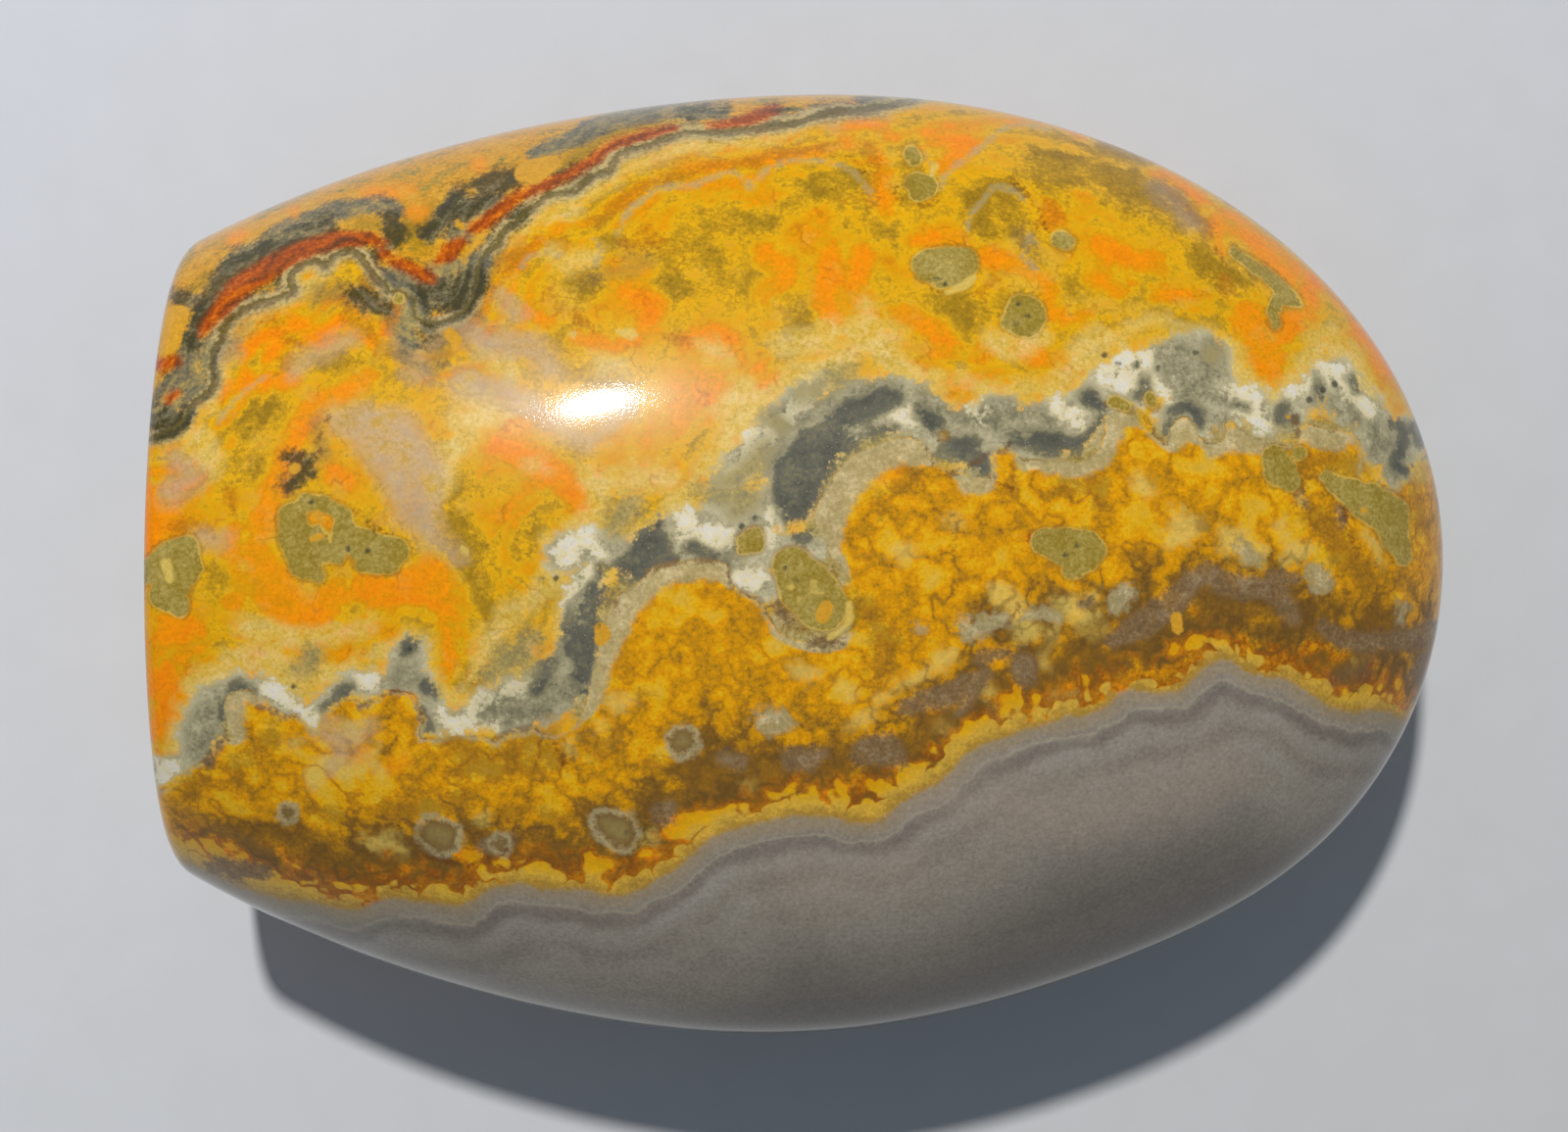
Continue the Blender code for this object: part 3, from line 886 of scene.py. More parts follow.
# Pale straw patches of the rock, and round the sun's glint patches of painted sheen.
STRAW_AND_SHEEN = [
    [(1018, 606, 11), (1050, 640, 13), (1036, 620, 11)],
    [(1086, 616, 13), (1118, 640, 12)],
    [(800, 350, 14), (836, 352, 14), (846, 334, 12)],
    [(736, 418, 12), (764, 400, 12)],
    [(872, 336, 12), (892, 350, 14), (916, 344, 10)],
    [(1012, 350, 11), (1040, 352, 12), (1062, 344, 9)],
    [(600, 486, 12), (636, 492, 14), (676, 488, 14)],
    [(742, 470, 10), (760, 448, 10)],
    [(520, 246, 4), (560, 208, 5), (600, 196, 5), (640, 172, 6), (700, 150, 7), (760, 142, 7), (810, 132, 7)],
    [(560, 226, 7), (590, 212, 6)],
    [(215, 415, 7), (226, 372, 6), (240, 344, 6), (268, 318, 6), (300, 306, 6), (340, 268, 5)],
    [(480, 400, 14), (510, 420, 12), (470, 430, 10)],
    [(450, 500, 9), (456, 470, 10), (470, 450, 10)],
    [(250, 640, 12), (280, 650, 12), (320, 650, 10), (380, 640, 7)],
    [(830, 345, 8), (850, 352, 8)],
    [(200, 690, 9), (190, 720, 7), (182, 750, 6)],
    [(184, 770, 5), (196, 716, 6), (216, 694, 10), (240, 678, 12), (262, 664, 13), (288, 678, 10)],
    [(250, 676, 12), (280, 690, 10), (342, 690, 10), (352, 680, 6), (398, 660, 6), (444, 690, 6)],
    [(462, 712, 7), (484, 690, 9), (500, 652, 11), (520, 628, 13), (548, 606, 12), (566, 580, 12)],
    [(566, 560, 14), (590, 540, 14), (604, 522, 9), (618, 492, 9), (650, 482, 12), (684, 490, 13)],
    [(690, 512, 9), (700, 500, 8), (716, 478, 10), (740, 466, 12), (744, 440, 12), (764, 412, 12)],
    [(764, 412, 12), (790, 398, 12), (816, 382, 13), (848, 370, 12), (872, 360, 13), (888, 330, 12)],
    [(880, 310, 9), (896, 350, 14), (916, 372, 12), (936, 380, 9), (966, 392, 8)],
    [(1070, 402, 10), (1086, 384, 13), (1104, 362, 14), (1118, 344, 12), (1140, 346, 7)],
    [(1152, 334, 7), (1172, 326, 6), (1196, 328, 6)],
    [(1252, 350, 8), (1262, 372, 10), (1272, 390, 9), (1286, 404, 7), (1302, 408, 6), (1318, 384, 7)],
    [(1318, 384, 7), (1336, 364, 8), (1352, 352, 8), (1376, 362, 12), (1386, 384, 9), (1400, 404, 8)],
    [(1060, 396, 5), (1000, 396, 8), (980, 390, 7)],
    [(1360, 338, 7), (1340, 345, 6)],
    [(560, 258, 6), (580, 270, 10), (604, 262, 8)],
    [(500, 360, 14), (520, 380, 12)],
    [(600, 362, 3), (620, 374, 9), (640, 372, 7)],
    [(716, 352, 4), (730, 358, 7), (746, 362, 6)],
    [(540, 475, 6), (556, 478, 6)],
    [(200, 445, 12), (216, 470, 12), (188, 470, 8)],
    [(930, 565, 8), (912, 560, 6)],
    [(970, 530, 7), (976, 536, 5)],
    [(1164, 492, 8), (1170, 500, 6)],
    [(1202, 530, 11), (1218, 540, 10), (1196, 552, 8)],
    [(1262, 556, 14), (1280, 566, 12), (1250, 546, 8)],
    [(1308, 546, 5), (1304, 538, 4)],
    [(1318, 566, 12), (1336, 560, 6)],
    [(650, 860, 4), (668, 856, 6)],
    [(490, 836, 6)],
    [(376, 858, 7), (396, 860, 9), (410, 866, 7)],
    [(320, 800, 8), (325, 780, 7), (340, 775, 5), (350, 788, 5), (368, 786, 4)],
    [(358, 744, 9), (370, 738, 6)],
    [(386, 762, 4), (380, 776, 4), (388, 790, 4)],
    [(300, 757, 7)],
    [(612, 742, 6), (618, 752, 4)],
    [(578, 758, 6), (582, 768, 4)],
    [(625, 718, 7), (640, 716, 6)],
    [(1116, 610, 6), (1120, 625, 5)],
    [(1394, 546, 4), (1404, 560, 4), (1410, 574, 4)],
    [(1450, 470, 6), (1448, 486, 6)],
    [(1010, 704, 8)],
    [(1076, 712, 7), (1094, 714, 8)],
    [(972, 668, 5), (958, 676, 6), (940, 690, 5), (918, 700, 5), (896, 716, 5), (880, 732, 5), (868, 742, 4)],
    [(1080, 628, 5), (1074, 646, 4), (1068, 664, 4), (1066, 680, 3)],
    [(1384, 676, 5)],
    [(1018, 738, 7), (1022, 724, 6)],
    [(980, 752, 6), (960, 742, 5)],
    [(830, 690, 8), (812, 684, 6)],
    [(860, 700, 6), (868, 712, 5)],
    [(740, 835, 8), (722, 838, 6)],
    [(762, 806, 6)],
]
VEIL = [
    [(1366, 692, 9), (1392, 684, 9), (1404, 660, 8)],
    [(372, 296, 11), (396, 312, 14), (410, 340, 12), (414, 366, 8)],
    [(326, 302, 9), (350, 298, 10), (374, 308, 9)],
    [(484, 318, 10), (462, 336, 13), (446, 362, 11), (438, 388, 7)],
    [(432, 284, 9), (456, 256, 8), (484, 236, 8), (510, 214, 7)],
    [(186, 384, 9), (178, 352, 8), (192, 326, 7)],
    [(322, 436, 6), (330, 462, 7), (304, 478, 7), (296, 498, 5)],
    [(1178, 190, 5), (1202, 206, 6), (1228, 232, 5)],
    [(636, 262, 5), (664, 268, 5), (600, 284, 5)],
    [(250, 330, 6), (236, 352, 6), (214, 366, 5)],
    [(486, 250, 7), (506, 262, 7), (492, 284, 6)],
    [(1058, 258, 6), (1040, 238, 5)],
]
LENS = [
    [(940, 812, 14), (1010, 822, 22), (1090, 828, 26), (1170, 816, 24), (1250, 784, 18)],
    [(820, 900, 14), (880, 896, 16), (930, 884, 10)],
]
HAZE = [
    [(470, 330, 14), (500, 350, 17), (540, 352, 15), (562, 376, 12)],
    [(470, 388, 14), (516, 400, 16), (548, 418, 11)],
    [(335, 745, 11), (352, 762, 12), (372, 742, 8), (338, 784, 7)],
    [(640, 420, 8), (600, 450, 9), (560, 430, 9)],
    [(210, 372, 7), (236, 352, 7)],
    [(346, 432, 14), (372, 436, 24), (400, 452, 34), (420, 482, 32), (424, 518, 25), (438, 546, 14)],
    [(438, 548, 8), (456, 560, 9), (470, 572, 5)],
    [(408, 345, 8), (420, 362, 11), (436, 384, 10), (416, 380, 6)],
    [(460, 322, 7), (448, 330, 7), (440, 350, 8)],
    [(512, 300, 8), (530, 322, 9)],
    [(176, 500, 14), (196, 486, 14), (178, 468, 9)],
    [(208, 548, 9), (226, 552, 9)],
    [(804, 112, 8), (836, 112, 9), (852, 124, 5)],
    [(1182, 192, 6), (1204, 212, 7), (1218, 230, 5)],
    [(360, 345, 8), (320, 360, 9), (300, 380, 6)],
    [(870, 112, 6), (900, 116, 5)],
]
PALE_LINES = [
    [(630, 238), (636, 222), (650, 208), (666, 196), (686, 190), (706, 190), (720, 183), (736, 177), (750, 177)],
    [(750, 177), (762, 183), (765, 192), (772, 184), (781, 174), (796, 167), (818, 162), (842, 164), (866, 173)],
    [(866, 173), (880, 186), (892, 200)],
    [(532, 272), (540, 262), (556, 257), (572, 260)],
    [(960, 192), (963, 180), (976, 170), (993, 157), (1010, 142), (1025, 130), (1046, 126), (1070, 132)],
    [(985, 236), (990, 220), (1000, 208), (1016, 190), (1034, 194), (1048, 206)],
    [(222, 432), (230, 420), (240, 408), (256, 394), (272, 384)],
    [(940, 150), (946, 164), (952, 180), (956, 192)],
    [(604, 244), (612, 256), (606, 270)],
    [(1060, 250), (1050, 240), (1044, 262), (1058, 274)],
    [(282, 834), (284, 822), (292, 817), (300, 824), (306, 836)],
    [(400, 840), (410, 860), (424, 874)],
    [(1240, 556), (1246, 540), (1262, 528)],
    [(1132, 632), (1136, 606), (1150, 590), (1166, 600)],
]
DARK_LINES = [
    [(1030, 181), (1040, 191), (1048, 199), (1056, 210), (1063, 224), (1070, 236)],
    [(912, 188), (918, 202), (920, 216)],
    [(936, 211), (950, 209), (959, 200)],
    [(884, 176), (876, 166), (866, 160)],
    [(338, 420), (330, 436), (322, 452), (328, 468)],
    [(362, 518), (372, 530), (384, 540), (398, 546)],
    [(1240, 254), (1248, 268)],
    [(428, 870), (446, 876), (468, 881)],
    [(1372, 520), (1376, 540), (1382, 560)],
    [(480, 882), (520, 868), (527, 850), (518, 838)],
    [(1026, 640), (1034, 628), (1040, 616)],
    [(566, 760), (572, 770), (576, 784)],
    [(940, 444), (948, 462), (952, 478), (968, 486), (986, 476), (1000, 470), (1012, 458), (1024, 462), (1030, 452)],
    [(1010, 486), (1022, 494), (1034, 500)],
    [(1320, 424), (1324, 438), (1322, 450)],
    [(1168, 426), (1178, 442), (1190, 454)],
    [(656, 594), (664, 581), (690, 574), (712, 572), (742, 574), (744, 592), (752, 602), (776, 612), (788, 634)],
    [(952, 520), (966, 524), (978, 530), (974, 546), (972, 562)],
    [(636, 602), (628, 618), (632, 626)],
    [(500, 756), (516, 748), (544, 741), (556, 752), (572, 764), (576, 782), (584, 772)],
    [(262, 722), (278, 724), (290, 732), (304, 730)],
    [(340, 722), (356, 712), (370, 722), (384, 712), (404, 704), (424, 712), (432, 734)],
]
print("strokes:", len(OLIVE), len(EMBER), len(STRAW_AND_SHEEN), len(HAZE))

# %% [markdown]
# ## The lower gold, blobs and inclusions
#
# Below the cloud the gold grew in small domes. Mauve and brown discs lie along its foot, and
# speckled olive grains of older rock are set in the whole stone, each with a thin pale rim.

# %% Strokes of blobs and inclusions
UMBER = [
    [(530, 742, 11), (548, 786, 12)],
    [(604, 764, 11), (632, 748, 10)],
    [(500, 690, 9), (486, 706, 9)],
    [(456, 748, 14), (486, 772, 15), (470, 790, 12)],
    [(526, 768, 15), (556, 748, 14), (566, 774, 12)],
    [(254, 772, 11), (276, 748, 10)],
    [(396, 826, 12), (474, 822, 12)],
    [(1306, 470, 9), (1330, 484, 10), (1352, 470, 9)],
    [(1096, 500, 8), (1130, 496, 8)],
    [(1374, 700, 12), (1360, 676, 10)],
    [(880, 615, 10), (905, 650, 12), (895, 690, 11)],
    [(1390, 476, 12), (1326, 468, 9)],
    [(1385, 690, 13), (1392, 660, 11)],
    [(1340, 520, 13), (1370, 562, 15), (1400, 592, 13)],
    [(1440, 500, 9), (1452, 540, 9)],
    [(1088, 492, 9), (1130, 494, 8)],
    [(900, 504, 7), (936, 486, 7)],
    [(470, 770, 12), (500, 790, 12), (540, 780, 12)],
    [(186, 830, 8), (216, 842, 9), (248, 852, 10), (282, 858, 14), (312, 872, 12), (336, 886, 8)],
    [(300, 845, 10), (336, 858, 10), (356, 878, 12), (376, 892, 12), (400, 880, 12)],
    [(400, 890, 10), (440, 888, 8), (470, 892, 8), (500, 880, 9), (530, 868, 12), (560, 862, 12), (590, 880, 8)],
    [(552, 888, 6), (606, 890, 6)],
    [(600, 815, 5), (576, 838, 8), (540, 826, 8), (512, 836, 6)],
    [(660, 782, 8), (690, 784, 10), (716, 792, 12), (744, 784, 10), (776, 782, 10), (800, 794, 10)],
    [(770, 806, 7), (792, 806, 8), (820, 802, 8), (846, 790, 8), (862, 776, 8), (858, 800, 6)],
    [(880, 806, 5), (886, 818, 6), (898, 824, 5)],
    [(700, 806, 6), (690, 830, 6), (770, 828, 4)],
    [(906, 790, 5), (922, 776, 6), (934, 756, 8), (956, 734, 8), (986, 734, 7)],
    [(990, 744, 5), (1010, 746, 5), (1034, 742, 5), (1040, 724, 8), (1058, 722, 8)],
    [(1010, 690, 8), (1022, 700, 7), (1052, 702, 8), (1066, 690, 7)],
    [(1068, 660, 8), (1086, 672, 10), (1106, 680, 12), (1126, 676, 12), (1140, 684, 7), (1116, 702, 8)],
    [(1112, 720, 5), (1168, 660, 6), (1164, 680, 5)],
    [(1104, 640, 5), (1120, 648, 6), (1130, 632, 5), (1140, 645, 8)],
    [(1200, 654, 8), (1212, 664, 7), (1196, 672, 4)],
    [(1230, 640, 4), (1234, 652, 4), (1250, 660, 4)],
    [(1264, 672, 6), (1284, 676, 8), (1306, 672, 8), (1320, 662, 4)],
    [(1220, 616, 5), (1240, 620, 5), (1262, 616, 5), (1284, 622, 4), (1300, 634, 4)],
    [(1336, 686, 9), (1352, 682, 8), (1344, 664, 8), (1350, 650, 7)],
    [(1372, 692, 9), (1392, 700, 10), (1410, 702, 10), (1422, 714, 8), (1404, 716, 6)],
    [(1350, 620, 8), (1376, 612, 9), (1392, 630, 9), (1420, 650, 8), (1400, 600, 6)],
    [(1228, 536, 6), (1238, 546, 5), (1226, 550, 4)],
    [(1180, 570, 5), (1150, 566, 5)],
    [(596, 734, 4), (602, 746, 5), (596, 760, 5), (604, 776, 5)],
    [(620, 676, 4), (634, 684, 4)],
    [(654, 712, 4), (662, 708, 4)],
    [(436, 764, 4), (426, 780, 5), (420, 800, 6), (416, 822, 6)],
    [(244, 770, 5), (236, 785, 6), (246, 800, 5)],
    [(206, 790, 6), (190, 800, 6), (196, 816, 6)],
    [(270, 768, 4), (262, 780, 4)],
    [(340, 835, 7), (356, 842, 6), (320, 826, 5)],
    [(760, 728, 5), (752, 740, 4)],
    [(870, 745, 5), (850, 756, 7), (850, 735, 5)],
    [(1110, 488, 5), (1120, 500, 7), (1130, 520, 6)],
    [(1436, 590, 7), (1420, 592, 6), (1446, 604, 6)],
    [(1034, 486, 5)],
    [(900, 526, 4)],
]
MAUVE = [
    [(884, 766, 15), (902, 764, 17), (914, 772, 11)],
    [(808, 774, 12), (824, 776, 13), (838, 770, 8)],
    [(1044, 680, 15), (1046, 688, 13)],
    [(1134, 655, 7), (1148, 648, 11), (1168, 636, 15), (1188, 622, 14), (1206, 608, 12), (1216, 592, 11)],
    [(1216, 592, 11), (1232, 586, 12), (1252, 596, 12), (1276, 598, 13), (1298, 602, 11), (1312, 616, 10)],
    [(1312, 616, 10), (1320, 632, 8), (1300, 590, 8), (1322, 590, 6)],
    [(1350, 640, 7), (1368, 652, 10), (1390, 656, 11), (1412, 654, 9), (1440, 652, 12), (1462, 640, 8)],
    [(1440, 690, 6), (1450, 674, 6)],
    [(924, 722, 9), (944, 714, 11), (964, 712, 12), (984, 700, 12), (1006, 688, 8), (978, 728, 6)],
    [(680, 836, 9), (684, 822, 8), (668, 828, 6)],
    [(494, 862, 8), (512, 858, 9), (522, 854, 6)],
    [(222, 884, 10), (248, 888, 11), (270, 890, 7)],
    [(756, 778, 9), (738, 774, 8)],
    [(214, 775, 6), (222, 762, 6), (228, 752, 3)],
    [(1326, 505, 6), (1330, 514, 5)],
    [(1366, 520, 5), (1372, 534, 5)],
    [(860, 655, 3), (826, 656, 5)],
    [(792, 618, 5), (804, 634, 5)],
    [(1000, 672, 6), (1022, 668, 6)],
    [(1104, 618, 6), (1114, 614, 5)],
]
PALE = [
    [(176, 580, 6), (172, 584, 6)],
    [(780, 734, 12), (796, 736, 12), (786, 744, 8)],
    [(984, 634, 9), (990, 646, 9), (1008, 636, 10), (1024, 630, 8)],
    [(1050, 628, 7), (1066, 626, 7), (1080, 632, 5)],
    [(1140, 612, 9), (1148, 604, 11), (1136, 622, 7)],
    [(1342, 584, 10), (1350, 592, 10), (1344, 602, 7)],
    [(1434, 616, 5), (1428, 632, 5)],
    [(1266, 562, 8), (1278, 570, 6)],
    [(940, 642, 6)],
]
FLECKS = [
    [(169, 574, 5), (173, 590, 5)],
    [(806, 598, 4)],
    [(830, 594, 3), (831, 604, 4)],
    [(817, 612, 4)],
    [(838, 604, 3)],
    [(960, 282, 3)],
    [(948, 262, 3)],
    [(968, 268, 3)],
    [(866, 616, 3), (868, 630, 4), (860, 642, 3), (846, 650, 3)],
    [(994, 282, 4), (984, 292, 4), (966, 298, 3)],
    [(954, 170, 4), (950, 178, 3)],
    [(1036, 545, 3)],
    [(645, 341, 6), (632, 338, 4)],
    [(584, 342, 4)],
    [(474, 560, 4), (476, 566, 3)],
]
DOTS = [
    [(955, 284, 3)], [(964, 289, 3)], [(317, 512, 3)], [(355, 560, 3)], [(376, 562, 3)], [(552, 591, 3)],
    [(567, 590, 3)], [(670, 535, 3)], [(757, 537, 3)], [(771, 529, 3)], [(1127, 362, 3)], [(1141, 371, 3)],
    [(1181, 376, 3)], [(1220, 360, 3)], [(417, 662, 3)], [(1040, 310, 3)], [(1048, 322, 3)], [(1036, 330, 3)],
    [(800, 580, 3)], [(812, 592, 3)], [(1088, 566, 3)], [(1100, 556, 3)], [(610, 639, 3)], [(640, 850, 3)],
    [(1160, 372, 3)], [(1350, 398, 3)], [(1362, 392, 3)], [(1336, 408, 3)], [(300, 700, 3)], [(222, 712, 3)],
]
RINGS = [
    [(442, 850, 14), (452, 854, 15)],
    [(618, 842, 12), (632, 848, 17)],
    [(697, 757, 13)],
    [(510, 862, 8)],
    [(176, 582, 9)],
    [(294, 830, 5)],
]
KHAKI = [
    [(742, 492, 13), (768, 474, 11), (780, 456, 8)],
    [(820, 402, 10), (850, 390, 10)],
    [(306, 682, 9), (316, 672, 11), (322, 666, 8)],
    [(498, 690, 8), (514, 676, 15), (534, 662, 13), (546, 650, 9), (536, 684, 8)],
    [(628, 542, 10), (636, 524, 15), (648, 512, 11)],
    [(716, 500, 9), (740, 502, 15), (764, 508, 13), (752, 520, 9)],
    [(784, 426, 9), (796, 434, 8)],
    [(850, 385, 11), (868, 380, 8)],
    [(1236, 362, 8)],
    [(1306, 444, 8), (1316, 442, 6)],
    [(1168, 938, 6), (1192, 930, 7), (1210, 930, 5)],
    [(826, 962, 6)],
    [(906, 962, 5)],
]
MOSS = [
    [(322, 542, 8), (332, 566, 9)],
    [(946, 270, 16), (962, 274, 21), (980, 270, 19)],
    [(1040, 312, 11), (1046, 322, 21), (1050, 332, 13), (1030, 328, 9)],
    [(934, 186, 11), (944, 190, 13), (938, 196, 10)],
    [(930, 156, 9), (934, 162, 8)],
    [(1082, 244, 10), (1088, 247, 9)],
    [(1258, 256, 4), (1270, 265, 6), (1290, 278, 6), (1304, 291, 8), (1316, 304, 8), (1326, 311, 4)],
    [(1306, 304, 8), (1298, 318, 5), (1302, 332, 5)],
    [(298, 526, 14), (300, 548, 16), (312, 574, 17), (324, 588, 8)],
    [(312, 512, 10), (336, 516, 8), (350, 526, 9), (352, 544, 12), (344, 566, 10)],
    [(360, 552, 16), (382, 562, 18), (404, 562, 14), (398, 576, 10), (374, 574, 11)],
    [(808, 578, 20), (822, 598, 28), (838, 616, 27), (845, 625, 18)],
    [(1066, 552, 14), (1086, 558, 20), (1104, 562, 22), (1116, 562, 13), (1094, 580, 12)],
    [(1300, 468, 13), (1306, 480, 17), (1316, 490, 12)],
    [(1326, 462, 7)],
    [(1352, 486, 6), (1374, 500, 13), (1396, 512, 20), (1418, 526, 20), (1424, 550, 14), (1432, 568, 9)],
    [(158, 582, 16), (176, 566, 16), (192, 556, 10), (194, 580, 12), (170, 606, 17), (182, 618, 12)],
    [(760, 552, 9), (770, 546, 9), (772, 556, 7), (758, 560, 6)],
    [(1136, 409, 6), (1148, 414, 6)],
    [(1174, 406, 6), (1178, 414, 4)],
    [(407, 305, 6)],
    [(962, 444, 4)],
    [(1240, 438, 3)],
]
print("strokes:", len(UMBER), len(MAUVE), len(RINGS), len(MOSS))

# %% [markdown]
# ## Marks that only the underside has
#
# Layers run through the stone, so they come out on the underside by themselves. Inclusions and
# patches of colour don't: each is a grain or a cloud with an end. The ones drawn above therefore
# fade out below the waist, and the underside gets its own, spread with a fixed seed.

# %% Measure every stroke
SEED = 11
FADE = 450.0
UNDERSIDE_MARKS = {
    "moss": (7, 0.0012, 0.0030),
    "ember": (9, 0.0020, 0.0048),
    "olive": (7, 0.0022, 0.0045),
    "haze": (6, 0.0020, 0.0040),
    "mustard": (5, 0.0006, 0.0012),
    "rings": (5, 0.0012, 0.0026),
}
LAYERS = {
    "cloud": CLOUD, "ash": ASH, "chalk": CHALK, "ink": INK, "rim": RIM, "rust": RUST, "slate": SLATE, "tar": TAR,
}
GRAINS = {
    "olive": OLIVE, "russet": RUSSET, "ember": EMBER, "straw": STRAW_AND_SHEEN, "haze": HAZE, "veil": VEIL, "lens": LENS,
    "umber": UMBER, "mauve": MAUVE,
    "pale": PALE, "rings": RINGS, "khaki": KHAKI, "moss": MOSS, "mustard": MUSTARD, "flecks": FLECKS,
}
LINES = {"pale_lines": PALE_LINES, "dark_lines": DARK_LINES, "dots": DOTS}


def scattered(count, smallest, largest, draw):
    """Distance in millimetres from some blobs, each made of three overlapping balls, below the waist."""
    low = points[hidden > BEND_HEIGHT]
    nearest = np.full(len(points), FAR)
    for _ in range(count):
        centre = np.array(low[draw.randrange(len(low))])
        size = draw.uniform(smallest, largest)
        for _ in range(3):
            middle = centre + size * np.array([draw.uniform(-1, 1) for _ in range(3)])
            away = np.linalg.norm(points - middle, axis=1) - size * draw.uniform(0.6, 1.0)
            nearest = np.minimum(nearest, away)
    return nearest * 1000


draw = random.Random(SEED)
for name, runs in LAYERS.items():
    fields[name] = strokes_distance(runs)
for name, runs in GRAINS.items():
    fields[name] = strokes_distance(runs) + FADE * hidden
for name, (count, smallest, largest) in UNDERSIDE_MARKS.items():
    fields[name] = np.minimum(fields[name], scattered(count, smallest, largest, draw))
for name, runs in LINES.items():
    fields[name] = strokes_distance(runs, with_radius=False) + FADE * hidden
for name, field in fields.items():
    attribute = stone_mesh.attributes.new(name, "FLOAT", "POINT")
    attribute.data.foreach_set("value", np.clip(field, -FAR, FAR).astype(np.float32))
print("attributes:", len(fields))

# %% [markdown]
# ## The colours
#
# Some forty colours make up the rock. They are written as they look on screen and turned to the
# linear values that shaders work with.

# %% Palette
def tone(red, green, blue):
    """A colour written as it looks on screen, as a linear one."""
    shares = [part / 255 for part in (red, green, blue)]
    return tuple(s / 12.92 if s <= 0.04045 else ((s + 0.055) / 1.055) ** 2.4 for s in shares) + (1.0,)


COLOURS = {
    "deep olive": tone(158, 120, 22),
    "olive": tone(176, 134, 24),
    "ochre": tone(204, 142, 8),
    "dull lemon": tone(202, 152, 24),
    "russet": tone(196, 122, 12),
    "gold": tone(230, 155, 0),
    "lemon": tone(234, 175, 12),
    "biscuit": tone(226, 180, 64),
    "orange": tone(252, 150, 0),
    "deep orange": tone(250, 134, 0),
    "brick": tone(166, 88, 10),
    "umber": tone(150, 104, 28),
    "bark": tone(118, 84, 32),
    "straw": tone(232, 198, 98),
    "cream": tone(234, 216, 168),
    "chalk": tone(238, 228, 208),
    "pale ash": tone(196, 184, 144),
    "ash": tone(160, 149, 114),
    "dark ash": tone(130, 122, 92),
    "charcoal": tone(104, 101, 86),
    "soot": tone(66, 64, 52),
    "khaki": tone(170, 150, 88),
    "tan": tone(190, 170, 118),
    "pink": tone(202, 170, 134),
    "fern": tone(100, 92, 34),
    "sage": tone(152, 138, 56),
    "apricot": tone(218, 152, 24),
    "peach": tone(218, 164, 50),
    "line": tone(112, 96, 44),
    "rust": tone(186, 80, 6),
    "dark rust": tone(112, 56, 18),
    "tar": tone(70, 62, 28),
    "slate": tone(120, 112, 88),
    "mustard": tone(220, 160, 44),
    "mauve": tone(136, 107, 70),
    "dark mauve": tone(116, 90, 60),
    "pale": tone(180, 163, 118),
    "moss": tone(160, 134, 46),
    "pale moss": tone(186, 164, 92),
    "blush": tone(160, 141, 112),
    "painted shade grey": tone(112, 104, 95),
    "grey": tone(149, 138, 122),
    "dark grey": tone(126, 114, 102),
    "light grey": tone(160, 150, 137),
    "rosy grey": tone(166, 148, 130),
    "smoky": tone(112, 92, 72),
    "lacy": tone(176, 160, 134),
    "fringe": tone(186, 146, 58),
}
print("colours:", len(COLOURS))

# %% [markdown]
# ## Painting with masks
#
# Each mark needs a mask: 1 where it shows and 0 where it doesn't. `within` turns a distance into
# one. Noise added to the distance roughens the edge, as a wash of colour creeps along grains, and
# the feather says how soft the edge is. `lay` puts a colour over what is there, and `blend` reads
# a colour off a scale, so that marks which add up to a number fade into each other.

# %% Tools of the painter
paint = jasper.node_tree
MM = 1000.0


def noise_wire(size_mm, detail=3.0, roughness=0.55, shift=0.0, place=None):
    """Noise from about -1 to 1, with features of a size in millimetres."""
    moved = paint.nodes.new("ShaderNodeVectorMath")
    moved.operation = "ADD"
    plug(paint, moved.inputs[0], place or object_place)
    moved.inputs[1].default_value = (shift, 2 * shift, 3 * shift)
    cloud = node_wire(
        paint, "ShaderNodeTexNoise", Vector=Wire(paint, moved.outputs[0]),
        Scale=MM / size_mm, Detail=detail, Roughness=roughness,
    )
    return (cloud - 0.5) * 3.2


def field_wire(name):
    """The distance that the mesh keeps for a kind of mark."""
    return node_wire(paint, "ShaderNodeAttribute", output="Fac", settings={"attribute_name": name})


def ramp(value, low, high):
    """0 below low, 1 above high, smooth between them."""
    return node_wire(
        paint, "ShaderNodeMapRange", settings={"interpolation_type": "SMOOTHSTEP"},
        Value=value, From_Min=low, From_Max=high,
    )


def within(distance, feather, rough=0.0, grain=0.0):
    """Mask of a mark: its distance, roughened by middling and fine noise."""
    edge = distance
    if rough:
        edge = edge + curd * rough
    if grain:
        edge = edge + grit * grain
    return 1.0 - ramp(edge, -feather, feather)


def lay(under, colour, mask):
    """The colour over what is there, where the mask is 1."""
    node = paint.nodes.new("ShaderNodeMix")
    node.data_type = "RGBA"
    plug(paint, node.inputs[0], mask)
    plug(paint, node.inputs[6], under)
    plug(paint, node.inputs[7], COLOURS[colour] if isinstance(colour, str) else colour)
    return Wire(paint, node.outputs[2])


def blend(value, *stops):
    """A colour read off a scale, whose stops are pairs of a value and a colour's name."""
    node = paint.nodes.new("ShaderNodeValToRGB")
    low, high = stops[0][0], stops[-1][0]
    elements = node.color_ramp.elements
    elements[0].color = COLOURS[stops[0][1]]
    elements[1].color = COLOURS[stops[-1][1]]
    for place, name in stops[1:-1]:
        elements.new((place - low) / (high - low)).color = COLOURS[name]
    plug(paint, node.inputs[0], (value - low) / (high - low))
    return Wire(paint, node.outputs[0])


